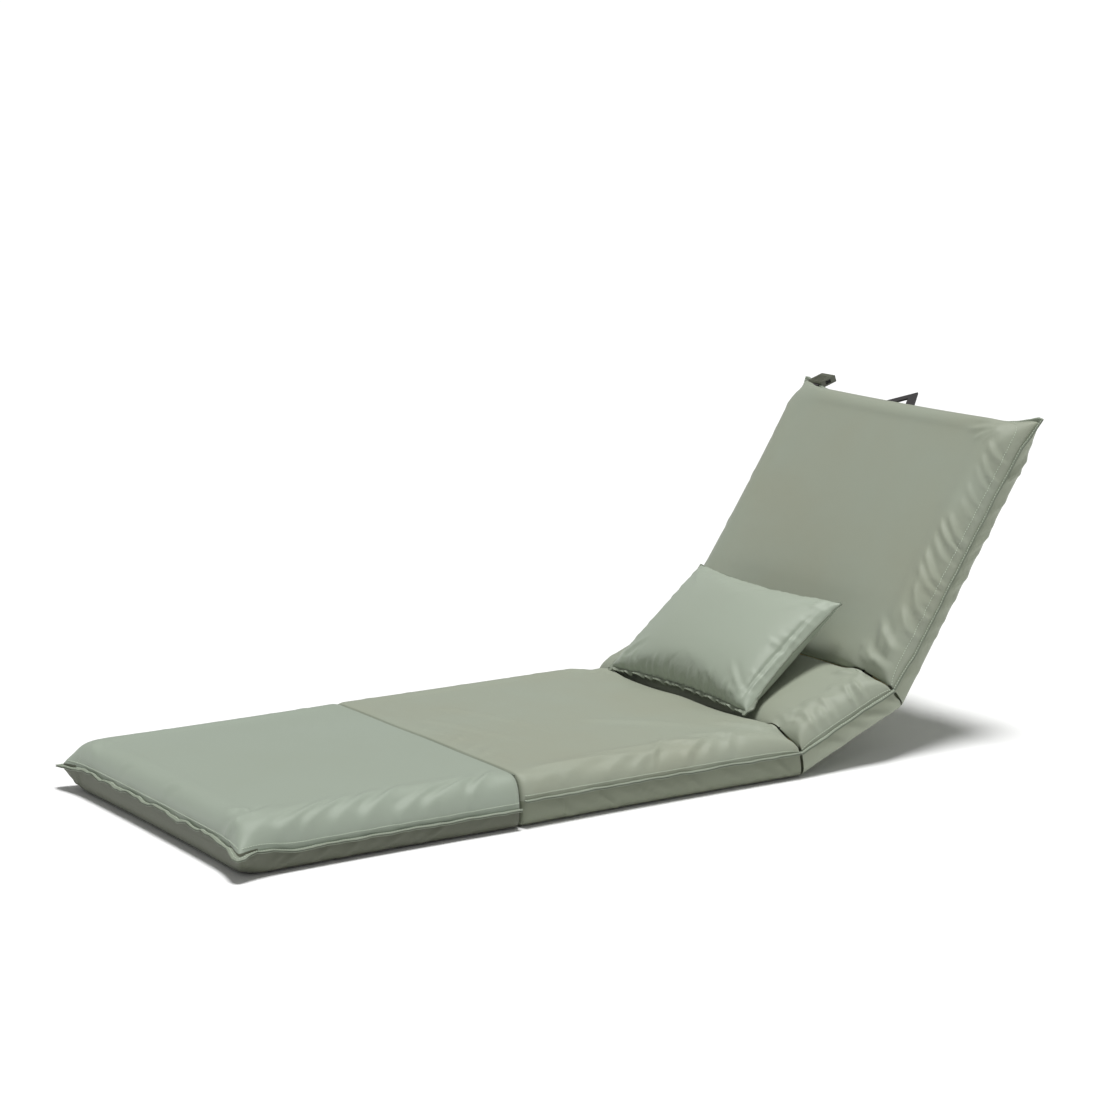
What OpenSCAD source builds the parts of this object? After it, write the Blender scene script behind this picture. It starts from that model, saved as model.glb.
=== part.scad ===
/* [Padded sections] */
// Width of a padded section over its side seams
section_w = 600; // [560:5:660]
// Height of a padded section at its crown
section_t = 86; // [84:1:100]
// Length of the foot section
foot_l = 484; // [420:2:486]
// Length of the seat section
seat_l = 532; // [530:2:600]
// Length of the lumbar section, hinge to hinge
lumbar_l = 205; // [200:1:250]
// Length of the back section
back_l = 500; // [440:2:560]
// How far the middle of a top panel rises above its edges
crown_h = 4; // [2:0.5:6]
// How far the sides are drawn in between the corners
draw_in = 5; // [0:0.5:8]
// Rounding of the top edges
top_round = 24; // [18:1:28]
// Rounding of the bottom edges
base_round = 14; // [8:1:18]

/* [Cover and foam] */
// Width of the welted seam round each section
seam_w = 6; // [4:0.5:8]
// Thickness of the welted seam
seam_t = 3; // [2:0.5:4]
// Thickness of the cover and its wadding under the foam
base_wall = 6; // [5:0.5:8]
// Thickness of the cover and its wadding over the foam
top_wall = 8; // [6:0.5:8]
// Thickness of the cover and its wadding beside the foam
side_wall = 34; // [34:1:44]
// Clearance between the foam and what lies round it
soft_gap = 0.3; // [0.2:0.05:0.5]
// Rounding where the foot and the seat meet
fold_round = 7; // [4:0.5:10]

/* [Positions] */
// Angle of one click of the ratchets
click_angle = 11.25; // [11.25, 22.5]
// Clicks that the lumbar section is raised from flat
lumbar_clicks = 2; // [0:1:5]
// Clicks that the back is raised from the line of the lumbar section
back_clicks = 3; // [0:1:5]

/* [Steel frame] */
// Outer diameter of the frame tube
tube_d = 19; // [18:0.5:22]
// Wall of the frame tube
tube_wall = 1.2; // [1:0.1:1.4]
// Distance from a side tube to the side seam next to it
rail_inset = 65; // [60:1:100]
// Radius of the tube bends
bend_r = 45; // [35:1:60]
// Diameter of the cross bars
bar_d = 16; // [12:0.5:16]
// Distance from a hinge pin to the end of its tube
tube_setback = 42; // [42:1:48]
// Distance from the seam at the free end to the closed end of a frame
frame_margin = 62; // [50:1:80]

/* [Ratchet hinges] */
// Radius over the ratchet teeth
ratchet_r = 24; // [22:0.5:24.5]
// Depth of the ratchet teeth
tooth_depth = 3.5; // [2.5:0.25:3.5]
// Thickness of the toothed plate and the pawl
ratchet_t = 3; // [2.5:0.25:3.5]
// Thickness of a cheek plate
cheek_t = 2; // [1.5:0.25:2]
// Radius of a cheek plate
cheek_r = 28; // [26:0.5:29]
// Width of the plate arms that enter the tubes
arm_w = 12; // [10:0.5:12]
// Length of a plate arm inside its tube
arm_in = 34; // [28:1:36]
// Radius of a hinge pin
pin_r = 4; // [3.5:0.25:5]
// Radius of a pawl pin
pawl_pin_r = 2; // [1.5:0.25:2.25]
// Radius of a frame rivet
rivet_r = 2.5; // [2:0.25:3]

/* [Webbing and zips] */
// Width of the carry handle webbing
handle_w = 16; // [14:1:18]
// Length of the carry handle from the top seam to its tip
handle_h = 44; // [40:1:52]
// Half of the distance between the ends of the carry handle
handle_half = 38; // [38:1:50]
// Width of the closing strap
strap_w = 38; // [30:1:40]
// Thickness of the webbing
webbing_t = 1.6; // [1.2:0.1:2]
// Length of the closing strap behind the back
strap_l = 220; // [160:5:280]
// Distance from each end of a zip to the side seam next to it
zip_inset = 85; // [80:5:150]

/* [Pillow] */
// Length of the pillow
pillow_l = 400; // [320:5:420]
// Width of the pillow, lower edge to upper edge
pillow_w = 255; // [220:5:280]
// Thickness of the pillow at its middle
pillow_t = 88; // [60:2:92]
// How far the pillow lies to one side of the middle
pillow_offset = -20; // [-80:5:40]
// Lean of the pillow from level
pillow_lean = 40; // [38:1:46]

/* [Hidden] */
$fn = 48;

cloth_colour = "#9da691";
foam_colour = "#e8dfae";
steel_colour = "#3b3d3c";
plate_colour = "#b9bcbd";
webbing_colour = "#2f2d2c";
buckle_colour = "#4f5449";

// Heights and widths that follow from the driving sizes
half_w = section_w / 2;
edge_h = section_t - crown_h;
hinge_h = section_t / 2;
seam_h = hinge_h;
lumbar_a = lumbar_clicks * click_angle;
back_a = back_clicks * click_angle;
inner_half_w = half_w - side_wall;
rail_x = half_w - rail_inset;
zip_l = section_w - 2 * zip_inset;
inner_top = edge_h - top_wall;
end_wall = side_wall;
cut_over = 1;

// Each end of a section is free, folds on its top edge, or creases at a hinge
FREE = 0;
FOLD = 1;
CREASE = 2;
fold_gap = 0.3;
crease_gap = 0.3;
crease_bevel = 46;
shoulder_h = 1;

// Faces round and up a padded form
side_steps = 10;
round_steps = 4;
crown_shares = [0.2, 0.45, 0.75];

module at_foot() {
  translate([0, -seat_l / 2, 0])
    mirror([0, 1, 0])
      children();
}

module at_seat() {
  translate([0, -seat_l / 2, 0])
    children();
}

module at_lumbar() {
  translate([0, seat_l / 2, hinge_h])
    rotate([lumbar_a, 0, 0])
      translate([0, 0, -hinge_h])
        children();
}

module at_back() {
  at_lumbar()
    translate([0, lumbar_l, hinge_h])
      rotate([back_a, 0, 0])
        translate([0, 0, -hinge_h])
          children();
}

// Lays a flat drawing of the y and z directions on the x axis, centred on x
module across(t) {
  translate([-t / 2, 0, 0])
    rotate([90, 0, 90])
      linear_extrude(t)
        children();
}

// Points once round a square, each side in equal steps
function square_walk(n) = concat(
  [for (i = [0:n - 1]) [2 * i / n - 1, -1]],
  [for (i = [0:n - 1]) [1, 2 * i / n - 1]],
  [for (i = [0:n - 1]) [1 - 2 * i / n, 1]],
  [for (i = [0:n - 1]) [-1, 1 - 2 * i / n]]
);

// How far the rounded top edge of a fold stands back at height z
function rounded_step(z) =
  let (rise = min(max(z - edge_h + fold_round, 0) / fold_round, 1))
  fold_round * (1 - sqrt(1 - rise * rise));

// How far an end stands back at height z, where the sides stand back by d
function end_inset(style, d, z, u) =
  style == FREE ? d + draw_in * (1 - u * u)
  : style == FOLD ? fold_gap + rounded_step(z)
  : crease_gap + max(z - hinge_h, 0) * tan(crease_bevel);

// One ring of a padded form: d is the step in from the seam line
function form_ring(l, start, end, z, d) = [
  for (p = square_walk(side_steps))
    let (
      y0 = end_inset(start, d, z, p[0]),
      y1 = l - end_inset(end, d, z, p[0]),
      x = p[0] * (half_w - d - draw_in * (1 - p[1] * p[1]))
    )
    [x, y0 + (y1 - y0) * (p[1] + 1) / 2, z]
];

// Heights and steps in of the rings from the base up to the top edge
function form_levels() =
  let (
    low = seam_h - seam_t / 2 - shoulder_h,
    high = seam_h + seam_t / 2 + shoulder_h
  )
  concat(
    [for (i = [0:round_steps])
      let (a = 90 * i / round_steps)
      [low * (1 - cos(a)), seam_w + base_round * (1 - sin(a))]],
    [[seam_h - seam_t / 2, 0], [seam_h + seam_t / 2, 0]],
    [for (i = [0:round_steps])
      let (a = 90 * i / round_steps)
      [high + (edge_h - high) * sin(a), seam_w + top_round * (1 - cos(a))]]
  );

function crowned(p, l) =
  let (
    across_part = p[0] / half_w,
    along_part = 2 * p[1] / l - 1
  )
  [p[0], p[1], edge_h + crown_h * (1 - pow(across_part, 2)) * (1 - pow(along_part, 2))];

function crown_ring(edge, l, share) = [
  for (p = edge) crowned([p[0] * (1 - share), p[1] + (l / 2 - p[1]) * share, p[2]], l)
];

// Triangles between rings of n points, closed by a point below and a point above
function ring_faces(n, rings) = concat(
  [for (i = [0:n - 1]) [i, (i + 1) % n, n * rings]],
  [for (k = [0:rings - 2]) for (i = [0:n - 1])
    [k * n + i, (k + 1) * n + i, (k + 1) * n + (i + 1) % n]],
  [for (k = [0:rings - 2]) for (i = [0:n - 1])
    [k * n + i, (k + 1) * n + (i + 1) % n, k * n + (i + 1) % n]],
  [for (i = [0:n - 1]) [(rings - 1) * n + (i + 1) % n, (rings - 1) * n + i, n * rings + 1]]
);

// A padded section: crowned top, sides drawn in between the corners, welted seam
module padded_form(l, start, end) {
  levels = form_levels();
  walls = [for (v = levels) form_ring(l, start, end, v[0], v[1])];
  edge = walls[len(walls) - 1];
  crowns = [for (s = crown_shares) crown_ring(edge, l, s)];
  rings = concat(walls, crowns);
  points = concat(
    [for (r = rings) for (p = r) p],
    [[0, l / 2, 0], crowned([0, l / 2, 0], l)]
  );
  polyhedron(points, ring_faces(len(edge), len(rings)), convexity = 6);
}

function cavity_start(style) = style == CREASE ? -cut_over : end_wall;

// The space inside a cover
module cover_space(l, start, end) {
  y0 = cavity_start(start);
  y1 = l - cavity_start(end);
  translate([-inner_half_w, y0, base_wall])
    cube([2 * inner_half_w, y1 - y0, inner_top - base_wall]);
}

module section_cover(l, start, end) {
  difference() {
    padded_form(l, start, end);
    cover_space(l, start, end);
  }
}

function foam_end(style, z) =
  style == CREASE ? crease_gap + soft_gap + max(z - hinge_h, 0) * tan(crease_bevel)
  : end_wall + soft_gap;

// One slab of foam from height z0 to z1
module foam_slab(l, start, end, z0, z1) {
  across(2 * (inner_half_w - soft_gap))
    polygon([
      [foam_end(start, z0), z0],
      [l - foam_end(end, z0), z0],
      [l - foam_end(end, z1), z1],
      [foam_end(start, z1), z1]
    ]);
}

module lower_slab(l, start, end) {
  foam_slab(l, start, end, base_wall, hinge_h);
}

module upper_slab(l, start, end) {
  foam_slab(l, start, end, hinge_h, inner_top - soft_gap);
}

// Steel frames
tube_r = tube_d / 2;
bore_r = tube_r - tube_wall;
bar_r = bar_d / 2;
seat_u_l = seat_l - tube_setback - frame_margin;
back_u_l = back_l - tube_setback - frame_margin;
lumbar_tube_l = lumbar_l - 2 * tube_setback;
rivet_in = arm_in * 2 / 3;
rivet_head_r = 1.8 * rivet_r;
rivet_head_t = 1.2;

module rod_along(r, l) {
  rotate([-90, 0, 0])
    cylinder(h = l, r = r);
}

module rod_across(r, w) {
  rotate([0, 90, 0])
    cylinder(h = w, r = r, center = true);
}

// A tube bent to a U: open ends at y = -over, closed end at y = l
module u_run(r, l, over) {
  for (s = [-1, 1]) {
    translate([s * rail_x, -over, 0])
      rod_along(r, l - bend_r + over);
    translate([s * (rail_x - bend_r), l - bend_r, 0])
      rotate([0, 0, s > 0 ? 0 : 90])
        rotate_extrude(angle = 90)
          translate([bend_r, 0])
            circle(r);
  }
  translate([0, l, 0])
    rod_across(r, 2 * (rail_x - bend_r));
}

module cross_bar(r) {
  rod_across(r, 2 * rail_x);
}

module rivet_holes(y) {
  for (s = [-1, 1])
    translate([s * rail_x, y, 0])
      rod_across(rivet_r, tube_d + 2 * cut_over);
}

// U frame with a cross bar at bar_y and rivet holes by its open ends
module u_frame(l, bar_y) {
  difference() {
    union() {
      u_run(tube_r, l, 0);
      translate([0, bar_y, 0])
        cross_bar(bar_r);
    }
    u_run(bore_r, l, cut_over);
    translate([0, bar_y, 0])
      cross_bar(bar_r - tube_wall);
    rivet_holes(rivet_in);
  }
}

// The space that a U frame needs in the foam
module u_frame_space(l, bar_y) {
  u_run(tube_r + soft_gap, l, 0);
  translate([0, bar_y, 0])
    cross_bar(bar_r + soft_gap);
  rivet_space(rivet_in);
}

module rivet_space(y) {
  for (s = [-1, 1])
    translate([s * rail_x, y, 0])
      rod_across(rivet_head_r + soft_gap, tube_d + 2 * (rivet_head_t + soft_gap));
}

module rivet(w) {
  rod_across(rivet_r, w);
  for (s = [-1, 1])
    translate([s * (w + rivet_head_t) / 2, 0, 0])
      rod_across(rivet_head_r, rivet_head_t);
}

module rivets(y) {
  for (s = [-1, 1])
    translate([s * rail_x, y, 0])
      rivet(tube_d);
}

// Ratchet hinges, drawn about the hinge pin with the lower section towards -y
plate_gap = 0.4;
lobe_r = 7;
boss_r = 5.5;
pawl_y = -25;
pawl_z = 22;
nose_angle = 184;
running_gap = 0.05;
mesh_gap = 0.35;
head_r = pin_r * 1.7;
head_t = 1.5;
stack_t = ratchet_t + 2 * plate_gap + 2 * cheek_t;
tooth_root_r = ratchet_r - tooth_depth;
hinge_space_r = 41;
hinge_space_w = 18;
pocket_gap = 1;
pawl_arm = norm([pawl_y, pawl_z]);
pawl_angle = atan2(pawl_z, pawl_y);
nose_reach = norm([
  pawl_y - tooth_root_r * cos(nose_angle),
  pawl_z - tooth_root_r * sin(nose_angle)
]);
free_turn = 1;
pawl_lift = 2 * asin((tooth_depth + 1.5 * mesh_gap) / (2 * nose_reach)) + free_turn;
lobe_foot_turn = 18;
lobe_turn = 11.5;
nose_turn = 1.2;
nose_tip_turn = 3.6;
nose_back_turn = 12;
nose_foot_turn = 10;
heel_turn = 9;
toe_turn = 6;
belly_turn = 14;
nose_depth_share = 0.35;

function polar(r, a) = [r * cos(a), r * sin(a)];

module toothed_disc() {
  count = round(360 / click_angle);
  polygon([
    for (i = [0:count - 1]) for (r = [tooth_root_r, ratchet_r])
      polar(r, nose_angle + i * click_angle)
  ]);
}

module arm(reach) {
  translate([0, -arm_w / 2])
    square([reach, arm_w]);
}

module ratchet_plate() {
  across(ratchet_t)
    difference() {
      union() {
        toothed_disc();
        arm(tube_setback + arm_in);
      }
      circle(pin_r + running_gap);
      translate([tube_setback + rivet_in, 0])
        circle(rivet_r);
    }
}

module cheek_outline() {
  difference() {
    union() {
      circle(cheek_r);
      translate([pawl_y, pawl_z])
        circle(lobe_r);
      polygon([
        polar(cheek_r - cut_over, pawl_angle + lobe_foot_turn),
        polar(pawl_arm, pawl_angle + lobe_turn),
        polar(pawl_arm, pawl_angle - lobe_turn),
        polar(cheek_r - cut_over, pawl_angle - lobe_foot_turn)
      ]);
      mirror([1, 0])
        arm(tube_setback + arm_in);
    }
    circle(pin_r);
    translate([pawl_y, pawl_z])
      circle(pawl_pin_r);
    translate([-tube_setback - rivet_in, 0])
      circle(rivet_r);
  }
}

module cheek_pair() {
  for (s = [-1, 1])
    translate([s * (ratchet_t / 2 + plate_gap + cheek_t / 2), 0, 0])
      across(cheek_t)
        cheek_outline();
}

module hinge_pin_set() {
  rod_across(pin_r, stack_t);
  for (s = [-1, 1])
    translate([s * (stack_t + head_t) / 2, 0, 0])
      rod_across(head_r, head_t);
  translate([0, pawl_y, pawl_z])
    rod_across(pawl_pin_r, stack_t + head_t);
}

// The pawl as it stands in a tooth space
module pawl_outline() {
  difference() {
    union() {
      translate([pawl_y, pawl_z])
        circle(boss_r);
      polygon([
        polar(tooth_root_r + mesh_gap, nose_angle - nose_turn),
        polar(ratchet_r + 0.7 * lobe_r, nose_angle - nose_turn),
        polar(ratchet_r + lobe_r, nose_angle - nose_back_turn),
        polar(pawl_arm + 0.8 * boss_r, pawl_angle + heel_turn),
        polar(pawl_arm - 0.7 * boss_r, pawl_angle - toe_turn),
        polar(ratchet_r + 0.3 * lobe_r, pawl_angle + belly_turn),
        polar(ratchet_r + 0.15 * lobe_r, nose_angle - nose_foot_turn),
        polar(tooth_root_r + tooth_depth * nose_depth_share + mesh_gap, nose_angle - nose_tip_turn)
      ]);
    }
    translate([pawl_y, pawl_z])
      circle(pawl_pin_r + running_gap);
  }
}

// The pawl at rest, lifted just clear of the teeth
module pawl() {
  translate([0, pawl_y, pawl_z])
    rotate([-pawl_lift, 0, 0])
      translate([0, -pawl_y, -pawl_z])
        across(ratchet_t)
          pawl_outline();
}

// A bent wire spring round the back of the pawl's boss
spring_wire = 0.8;
spring_gap = 0.4;
spring_open_half = 76;
spring_turn = 110;

module pawl_spring() {
  inner = boss_r + spring_gap;
  outer = inner + spring_wire;
  nose_dir = pawl_angle + spring_turn;
  translate([0, pawl_y, pawl_z])
    across(ratchet_t)
      difference() {
        circle(outer);
        circle(inner);
        polygon([
          [0, 0],
          polar(3 * outer, nose_dir - spring_open_half),
          polar(3 * outer, nose_dir),
          polar(3 * outer, nose_dir + spring_open_half)
        ]);
      }
}

module both_sides() {
  for (s = [-1, 1])
    translate([s * rail_x, 0, 0])
      children();
}

// The space that a hinge needs in the foam
module hinge_space() {
  both_sides()
    rod_across(hinge_space_r, hinge_space_w);
}

// The space that a hinge needs in its crease gusset
module hinge_pocket() {
  both_sides() {
    rod_across(cheek_r + pocket_gap, hinge_space_w, $fn = 12);
    translate([0, pawl_y, pawl_z])
      rod_across(lobe_r + 2 * pocket_gap, hinge_space_w, $fn = 12);
  }
}

module lumbar_hinge_place() {
  translate([0, seat_l, hinge_h])
    children();
}

module back_hinge_place() {
  translate([0, lumbar_l, hinge_h])
    children();
}

module upper_hinge_place() {
  translate([0, 0, hinge_h])
    children();
}

// Seat and back frame places
module seat_frame_place() {
  translate([0, seat_l - tube_setback, hinge_h])
    mirror([0, 1, 0])
      children();
}

module section_start_place() {
  translate([0, tube_setback, hinge_h])
    children();
}

seat_bar_y = seat_u_l / 2;
back_bar_y = back_u_l / 2;

module seat_foam(upper) {
  difference() {
    if (upper)
      upper_slab(seat_l, FOLD, CREASE);
    else
      lower_slab(seat_l, FOLD, CREASE);
    seat_frame_place()
      u_frame_space(seat_u_l, seat_bar_y);
    lumbar_hinge_place()
      hinge_space();
    arm_space(seat_l - tube_setback);
  }
}

// Room for the plate arms between a hinge and the tube ends at y
module arm_space(y) {
  translate([0, y, hinge_h])
    both_sides()
      translate([-hinge_space_w / 2, -2 * cut_over, -tube_r])
        cube([hinge_space_w, 4 * cut_over, tube_d]);
}

module lumbar_tubes(r, over) {
  for (s = [-1, 1])
    translate([s * rail_x, -over, 0])
      rod_along(r, lumbar_tube_l + 2 * over);
}

module lumbar_foam(upper) {
  difference() {
    if (upper)
      upper_slab(lumbar_l, CREASE, CREASE);
    else
      lower_slab(lumbar_l, CREASE, CREASE);
    section_start_place() {
      lumbar_tubes(tube_r + soft_gap, cut_over);
      translate([0, lumbar_tube_l / 2, 0])
        cross_bar(bar_r + soft_gap);
      rivet_space(rivet_in);
      rivet_space(lumbar_tube_l - rivet_in);
    }
    back_hinge_place()
      hinge_space();
    upper_hinge_place()
      hinge_space();
    arm_space(tube_setback);
    arm_space(lumbar_l - tube_setback);
  }
}

module back_foam(upper) {
  difference() {
    if (upper)
      upper_slab(back_l, CREASE, FREE);
    else
      lower_slab(back_l, CREASE, FREE);
    section_start_place()
      u_frame_space(back_u_l, back_bar_y);
    upper_hinge_place()
      hinge_space();
    arm_space(tube_setback);
  }
}

// Zips lie in a groove on the underside, clear of what the section rests on
zip_groove_d = 4;
zip_groove_w = 22;
tape_t = 1;
tape_w = 9;
chain_w = 3;
chain_t = 1.6;
zip_margin = 70;
slider_l = 12;
slider_w = 9;
slider_t = 1.4;
slider_gap = 0.3;
tab_l = 20;
tab_w = 6;

module zip_groove(y) {
  translate([-zip_l / 2 - slider_l, y - zip_groove_w / 2, -cut_over])
    cube([zip_l + 2 * slider_l, zip_groove_w, zip_groove_d + cut_over]);
}

module zip_tape(y) {
  translate([0, y, zip_groove_d])
    for (s = [-1, 1])
      translate([-zip_l / 2, s > 0 ? chain_w / 2 : -chain_w / 2 - tape_w, -tape_t])
        cube([zip_l, tape_w, tape_t]);
  translate([-zip_l / 2, y - chain_w / 2, zip_groove_d - chain_t])
    cube([zip_l, chain_w, chain_t]);
}

module zip_slider(y) {
  top = zip_groove_d - chain_t - slider_gap;
  translate([-zip_l / 2, y, top - slider_t])
    linear_extrude(slider_t)
      union() {
        translate([0, -slider_w / 2])
          square([slider_l * 2 / 3, slider_w]);
        translate([slider_l * 2 / 3, 0])
          circle(slider_w / 2);
        translate([slider_l * 2 / 3, -tab_w / 2])
          square([tab_l, tab_w]);
        translate([slider_l * 2 / 3 + tab_l, 0])
          circle(tab_w / 2);
      }
}

// Gussets fill the creases from the hinge line up, deep in the middle and high over the hinges
gusset_gap = 0.6;
middle_sink = 19;
cap_sink = 5;
gusset_w = section_w - 2 * (seam_w + top_round);
gusset_cap_w = gusset_w / 2 - rail_x + hinge_space_w;
gusset_reach_share = 0.97;

// A gusset's outline seen from the side, about the hinge pin, for a rise of a
function gusset_section(a, sink) =
  let (
    bevel = 90 - crease_bevel,
    side_r = (edge_h - hinge_h) / sin(bevel) * gusset_reach_share,
    clear = asin(gusset_gap / side_r),
    valley_r = (edge_h - hinge_h) / cos(a / 2) - sink
  )
  [
    polar(4 * gusset_gap, 90 + a / 2),
    polar(side_r, a + bevel + clear),
    polar(valley_r, 90 + a / 2),
    polar(side_r, 180 - bevel - clear)
  ];

module crease_gusset(a) {
  difference() {
    union() {
      across(gusset_w - 2 * gusset_cap_w)
        polygon(gusset_section(a, middle_sink));
      for (s = [-1, 1])
        translate([s * (gusset_w - gusset_cap_w) / 2, 0, 0])
          across(gusset_cap_w)
            polygon(gusset_section(a, cap_sink));
    }
    hinge_pocket();
  }
}

// Top seam of the fold, lying in the rounded notch between foot and seat
welt_r = 1.1;
welt_h = edge_h - 0.4 * fold_round;

// Pillow
pillow_steps = 12;
pillow_ring_shares = [1, 0.97, 0.88, 0.72, 0.5, 0.25];
pillow_front_share = 0.48;
pillow_waist_share = 0.06;
wedge_free_turn = 2;
wedge_angle = pillow_lean - lumbar_a + wedge_free_turn;

// A point of the pillow: full in front, wedged behind where it lies against the lumbar section
function pillow_point(u, v, side) =
  let (
    waist_x = 1 - pillow_waist_share * (1 - v * v),
    waist_y = 1 - pillow_waist_share * (1 - u * u),
    rise = pow((1 - pow(abs(u), 2.4)) * (1 - pow(abs(v), 2.4)), 0.55),
    front = pillow_front_share * pillow_t * rise,
    wedge = (v + 1) / 2 * pillow_w * tan(wedge_angle),
    rear = min((1 - pillow_front_share) * pillow_t * rise, wedge)
  )
  [u * pillow_l / 2 * waist_x, v * pillow_w / 2 * waist_y, side > 0 ? front : -rear];

// The pillow's welted form, its seam in the plane z = 0
module pillow_form(scale_share) {
  walk = square_walk(pillow_steps);
  n = len(walk);
  upper = [for (s = pillow_ring_shares) [for (p = walk) pillow_point(p[0] * s, p[1] * s, 1)]];
  lower = [for (i = [len(pillow_ring_shares) - 1:-1:1])
    [for (p = walk) pillow_point(p[0] * pillow_ring_shares[i], p[1] * pillow_ring_shares[i], -1)]];
  rings = concat(lower, upper);
  points = concat(
    [for (r = rings) for (p = r) p],
    [pillow_point(0, 0, -1), pillow_point(0, 0, 1)]
  );
  scale(scale_share)
    polyhedron(points, ring_faces(n, len(rings)), convexity = 4);
}

filling_share = 0.86;
pillow_set_y = 22;
pillow_set_z = 0.4;
pillow_foot_y = seat_l / 2 - pillow_set_y;
pillow_foot_z = section_t - pillow_set_z;

module at_pillow() {
  translate([pillow_offset, pillow_foot_y, pillow_foot_z])
    rotate([pillow_lean, 0, 0])
      translate([0, pillow_w / 2, 0])
        children();
}

// Sub-parts
module foot_cover() {
  color(cloth_colour)
    at_foot()
      difference() {
        section_cover(foot_l, FOLD, FREE);
        zip_groove(foot_l - zip_margin);
      }
}

module foot_foam() {
  color(foam_colour)
    at_foot()
      foam_slab(foot_l, FOLD, FREE, base_wall, inner_top - soft_gap);
}

module foot_zip() {
  color(webbing_colour)
    at_foot()
      zip_tape(foot_l - zip_margin);
}

module foot_zip_slider() {
  color(plate_colour)
    at_foot()
      zip_slider(foot_l - zip_margin);
}

module fold_seam_welt() {
  color(cloth_colour)
    translate([0, -seat_l / 2, welt_h])
      rod_across(welt_r, section_w - 2 * (seam_w + top_round));
}

module seat_cover() {
  color(cloth_colour)
    at_seat()
      section_cover(seat_l, FOLD, CREASE);
}

module seat_foam_lower() {
  color(foam_colour)
    at_seat()
      seat_foam(false);
}

module seat_foam_upper() {
  color(foam_colour)
    at_seat()
      seat_foam(true);
}

module seat_frame() {
  color(steel_colour)
    at_seat()
      seat_frame_place()
        u_frame(seat_u_l, seat_bar_y);
}

module seat_frame_rivets() {
  color(plate_colour)
    at_seat()
      seat_frame_place()
        rivets(rivet_in);
}

module lumbar_hinge_cheeks() {
  color(plate_colour)
    at_seat()
      lumbar_hinge_place()
        both_sides()
          cheek_pair();
}

module lumbar_hinge_pins() {
  color(steel_colour)
    at_seat()
      lumbar_hinge_place()
        both_sides()
          hinge_pin_set();
}

module lumbar_pawl_springs() {
  color(steel_colour)
    at_seat()
      lumbar_hinge_place()
        both_sides()
          pawl_spring();
}

module lumbar_pawl_left() {
  color(plate_colour)
    at_seat()
      lumbar_hinge_place()
        translate([-rail_x, 0, 0])
          pawl();
}

module lumbar_pawl_right() {
  color(plate_colour)
    at_seat()
      lumbar_hinge_place()
        translate([rail_x, 0, 0])
          pawl();
}

module lumbar_crease_gusset() {
  color(cloth_colour)
    at_seat()
      lumbar_hinge_place()
        crease_gusset(lumbar_a);
}

module lumbar_cover() {
  color(cloth_colour)
    at_lumbar()
      section_cover(lumbar_l, CREASE, CREASE);
}

module lumbar_foam_lower() {
  color(foam_colour)
    at_lumbar()
      lumbar_foam(false);
}

module lumbar_foam_upper() {
  color(foam_colour)
    at_lumbar()
      lumbar_foam(true);
}

module lumbar_frame() {
  color(steel_colour)
    at_lumbar()
      section_start_place()
        difference() {
          union() {
            lumbar_tubes(tube_r, 0);
            translate([0, lumbar_tube_l / 2, 0])
              cross_bar(bar_r);
          }
          lumbar_tubes(bore_r, cut_over);
          translate([0, lumbar_tube_l / 2, 0])
            cross_bar(bar_r - tube_wall);
          rivet_holes(rivet_in);
          rivet_holes(lumbar_tube_l - rivet_in);
        }
}

module lumbar_frame_rivets() {
  color(plate_colour)
    at_lumbar()
      section_start_place() {
        rivets(rivet_in);
        rivets(lumbar_tube_l - rivet_in);
      }
}

module lumbar_ratchet_plates() {
  color(plate_colour)
    at_lumbar()
      upper_hinge_place()
        both_sides()
          ratchet_plate();
}

module back_hinge_cheeks() {
  color(plate_colour)
    at_lumbar()
      back_hinge_place()
        both_sides()
          cheek_pair();
}

module back_hinge_pins() {
  color(steel_colour)
    at_lumbar()
      back_hinge_place()
        both_sides()
          hinge_pin_set();
}

module back_pawl_springs() {
  color(steel_colour)
    at_lumbar()
      back_hinge_place()
        both_sides()
          pawl_spring();
}

module back_pawl_left() {
  color(plate_colour)
    at_lumbar()
      back_hinge_place()
        translate([-rail_x, 0, 0])
          pawl();
}

module back_pawl_right() {
  color(plate_colour)
    at_lumbar()
      back_hinge_place()
        translate([rail_x, 0, 0])
          pawl();
}

module back_crease_gusset() {
  color(cloth_colour)
    at_lumbar()
      back_hinge_place()
        crease_gusset(back_a);
}

module back_cover() {
  color(cloth_colour)
    at_back()
      difference() {
        section_cover(back_l, CREASE, FREE);
        zip_groove(back_l - zip_margin);
      }
}

module back_foam_lower() {
  color(foam_colour)
    at_back()
      back_foam(false);
}

module back_foam_upper() {
  color(foam_colour)
    at_back()
      back_foam(true);
}

module back_frame() {
  color(steel_colour)
    at_back()
      section_start_place()
        u_frame(back_u_l, back_bar_y);
}

module back_frame_rivets() {
  color(plate_colour)
    at_back()
      section_start_place()
        rivets(rivet_in);
}

module back_ratchet_plates() {
  color(plate_colour)
    at_back()
      upper_hinge_place()
        both_sides()
          ratchet_plate();
}

module back_zip() {
  color(webbing_colour)
    at_back()
      zip_tape(back_l - zip_margin);
}

module back_zip_slider() {
  color(plate_colour)
    at_back()
      zip_slider(back_l - zip_margin);
}

// Webbing sewn on the back's top seam leans back past the seam's edge
top_seam_y = back_l - draw_in;
corner_seam_y = back_l - seam_w + cut_over;
sewn_l = seam_w - 2 * soft_gap;
seam_top_z = seam_h + seam_t / 2 + shoulder_h;
seam_under_z = seam_h - seam_t / 2 - shoulder_h;
handle_x = -30;
handle_lean = 35;
buckle_lean = 38;
fold_t = 2 * webbing_t;

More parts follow.
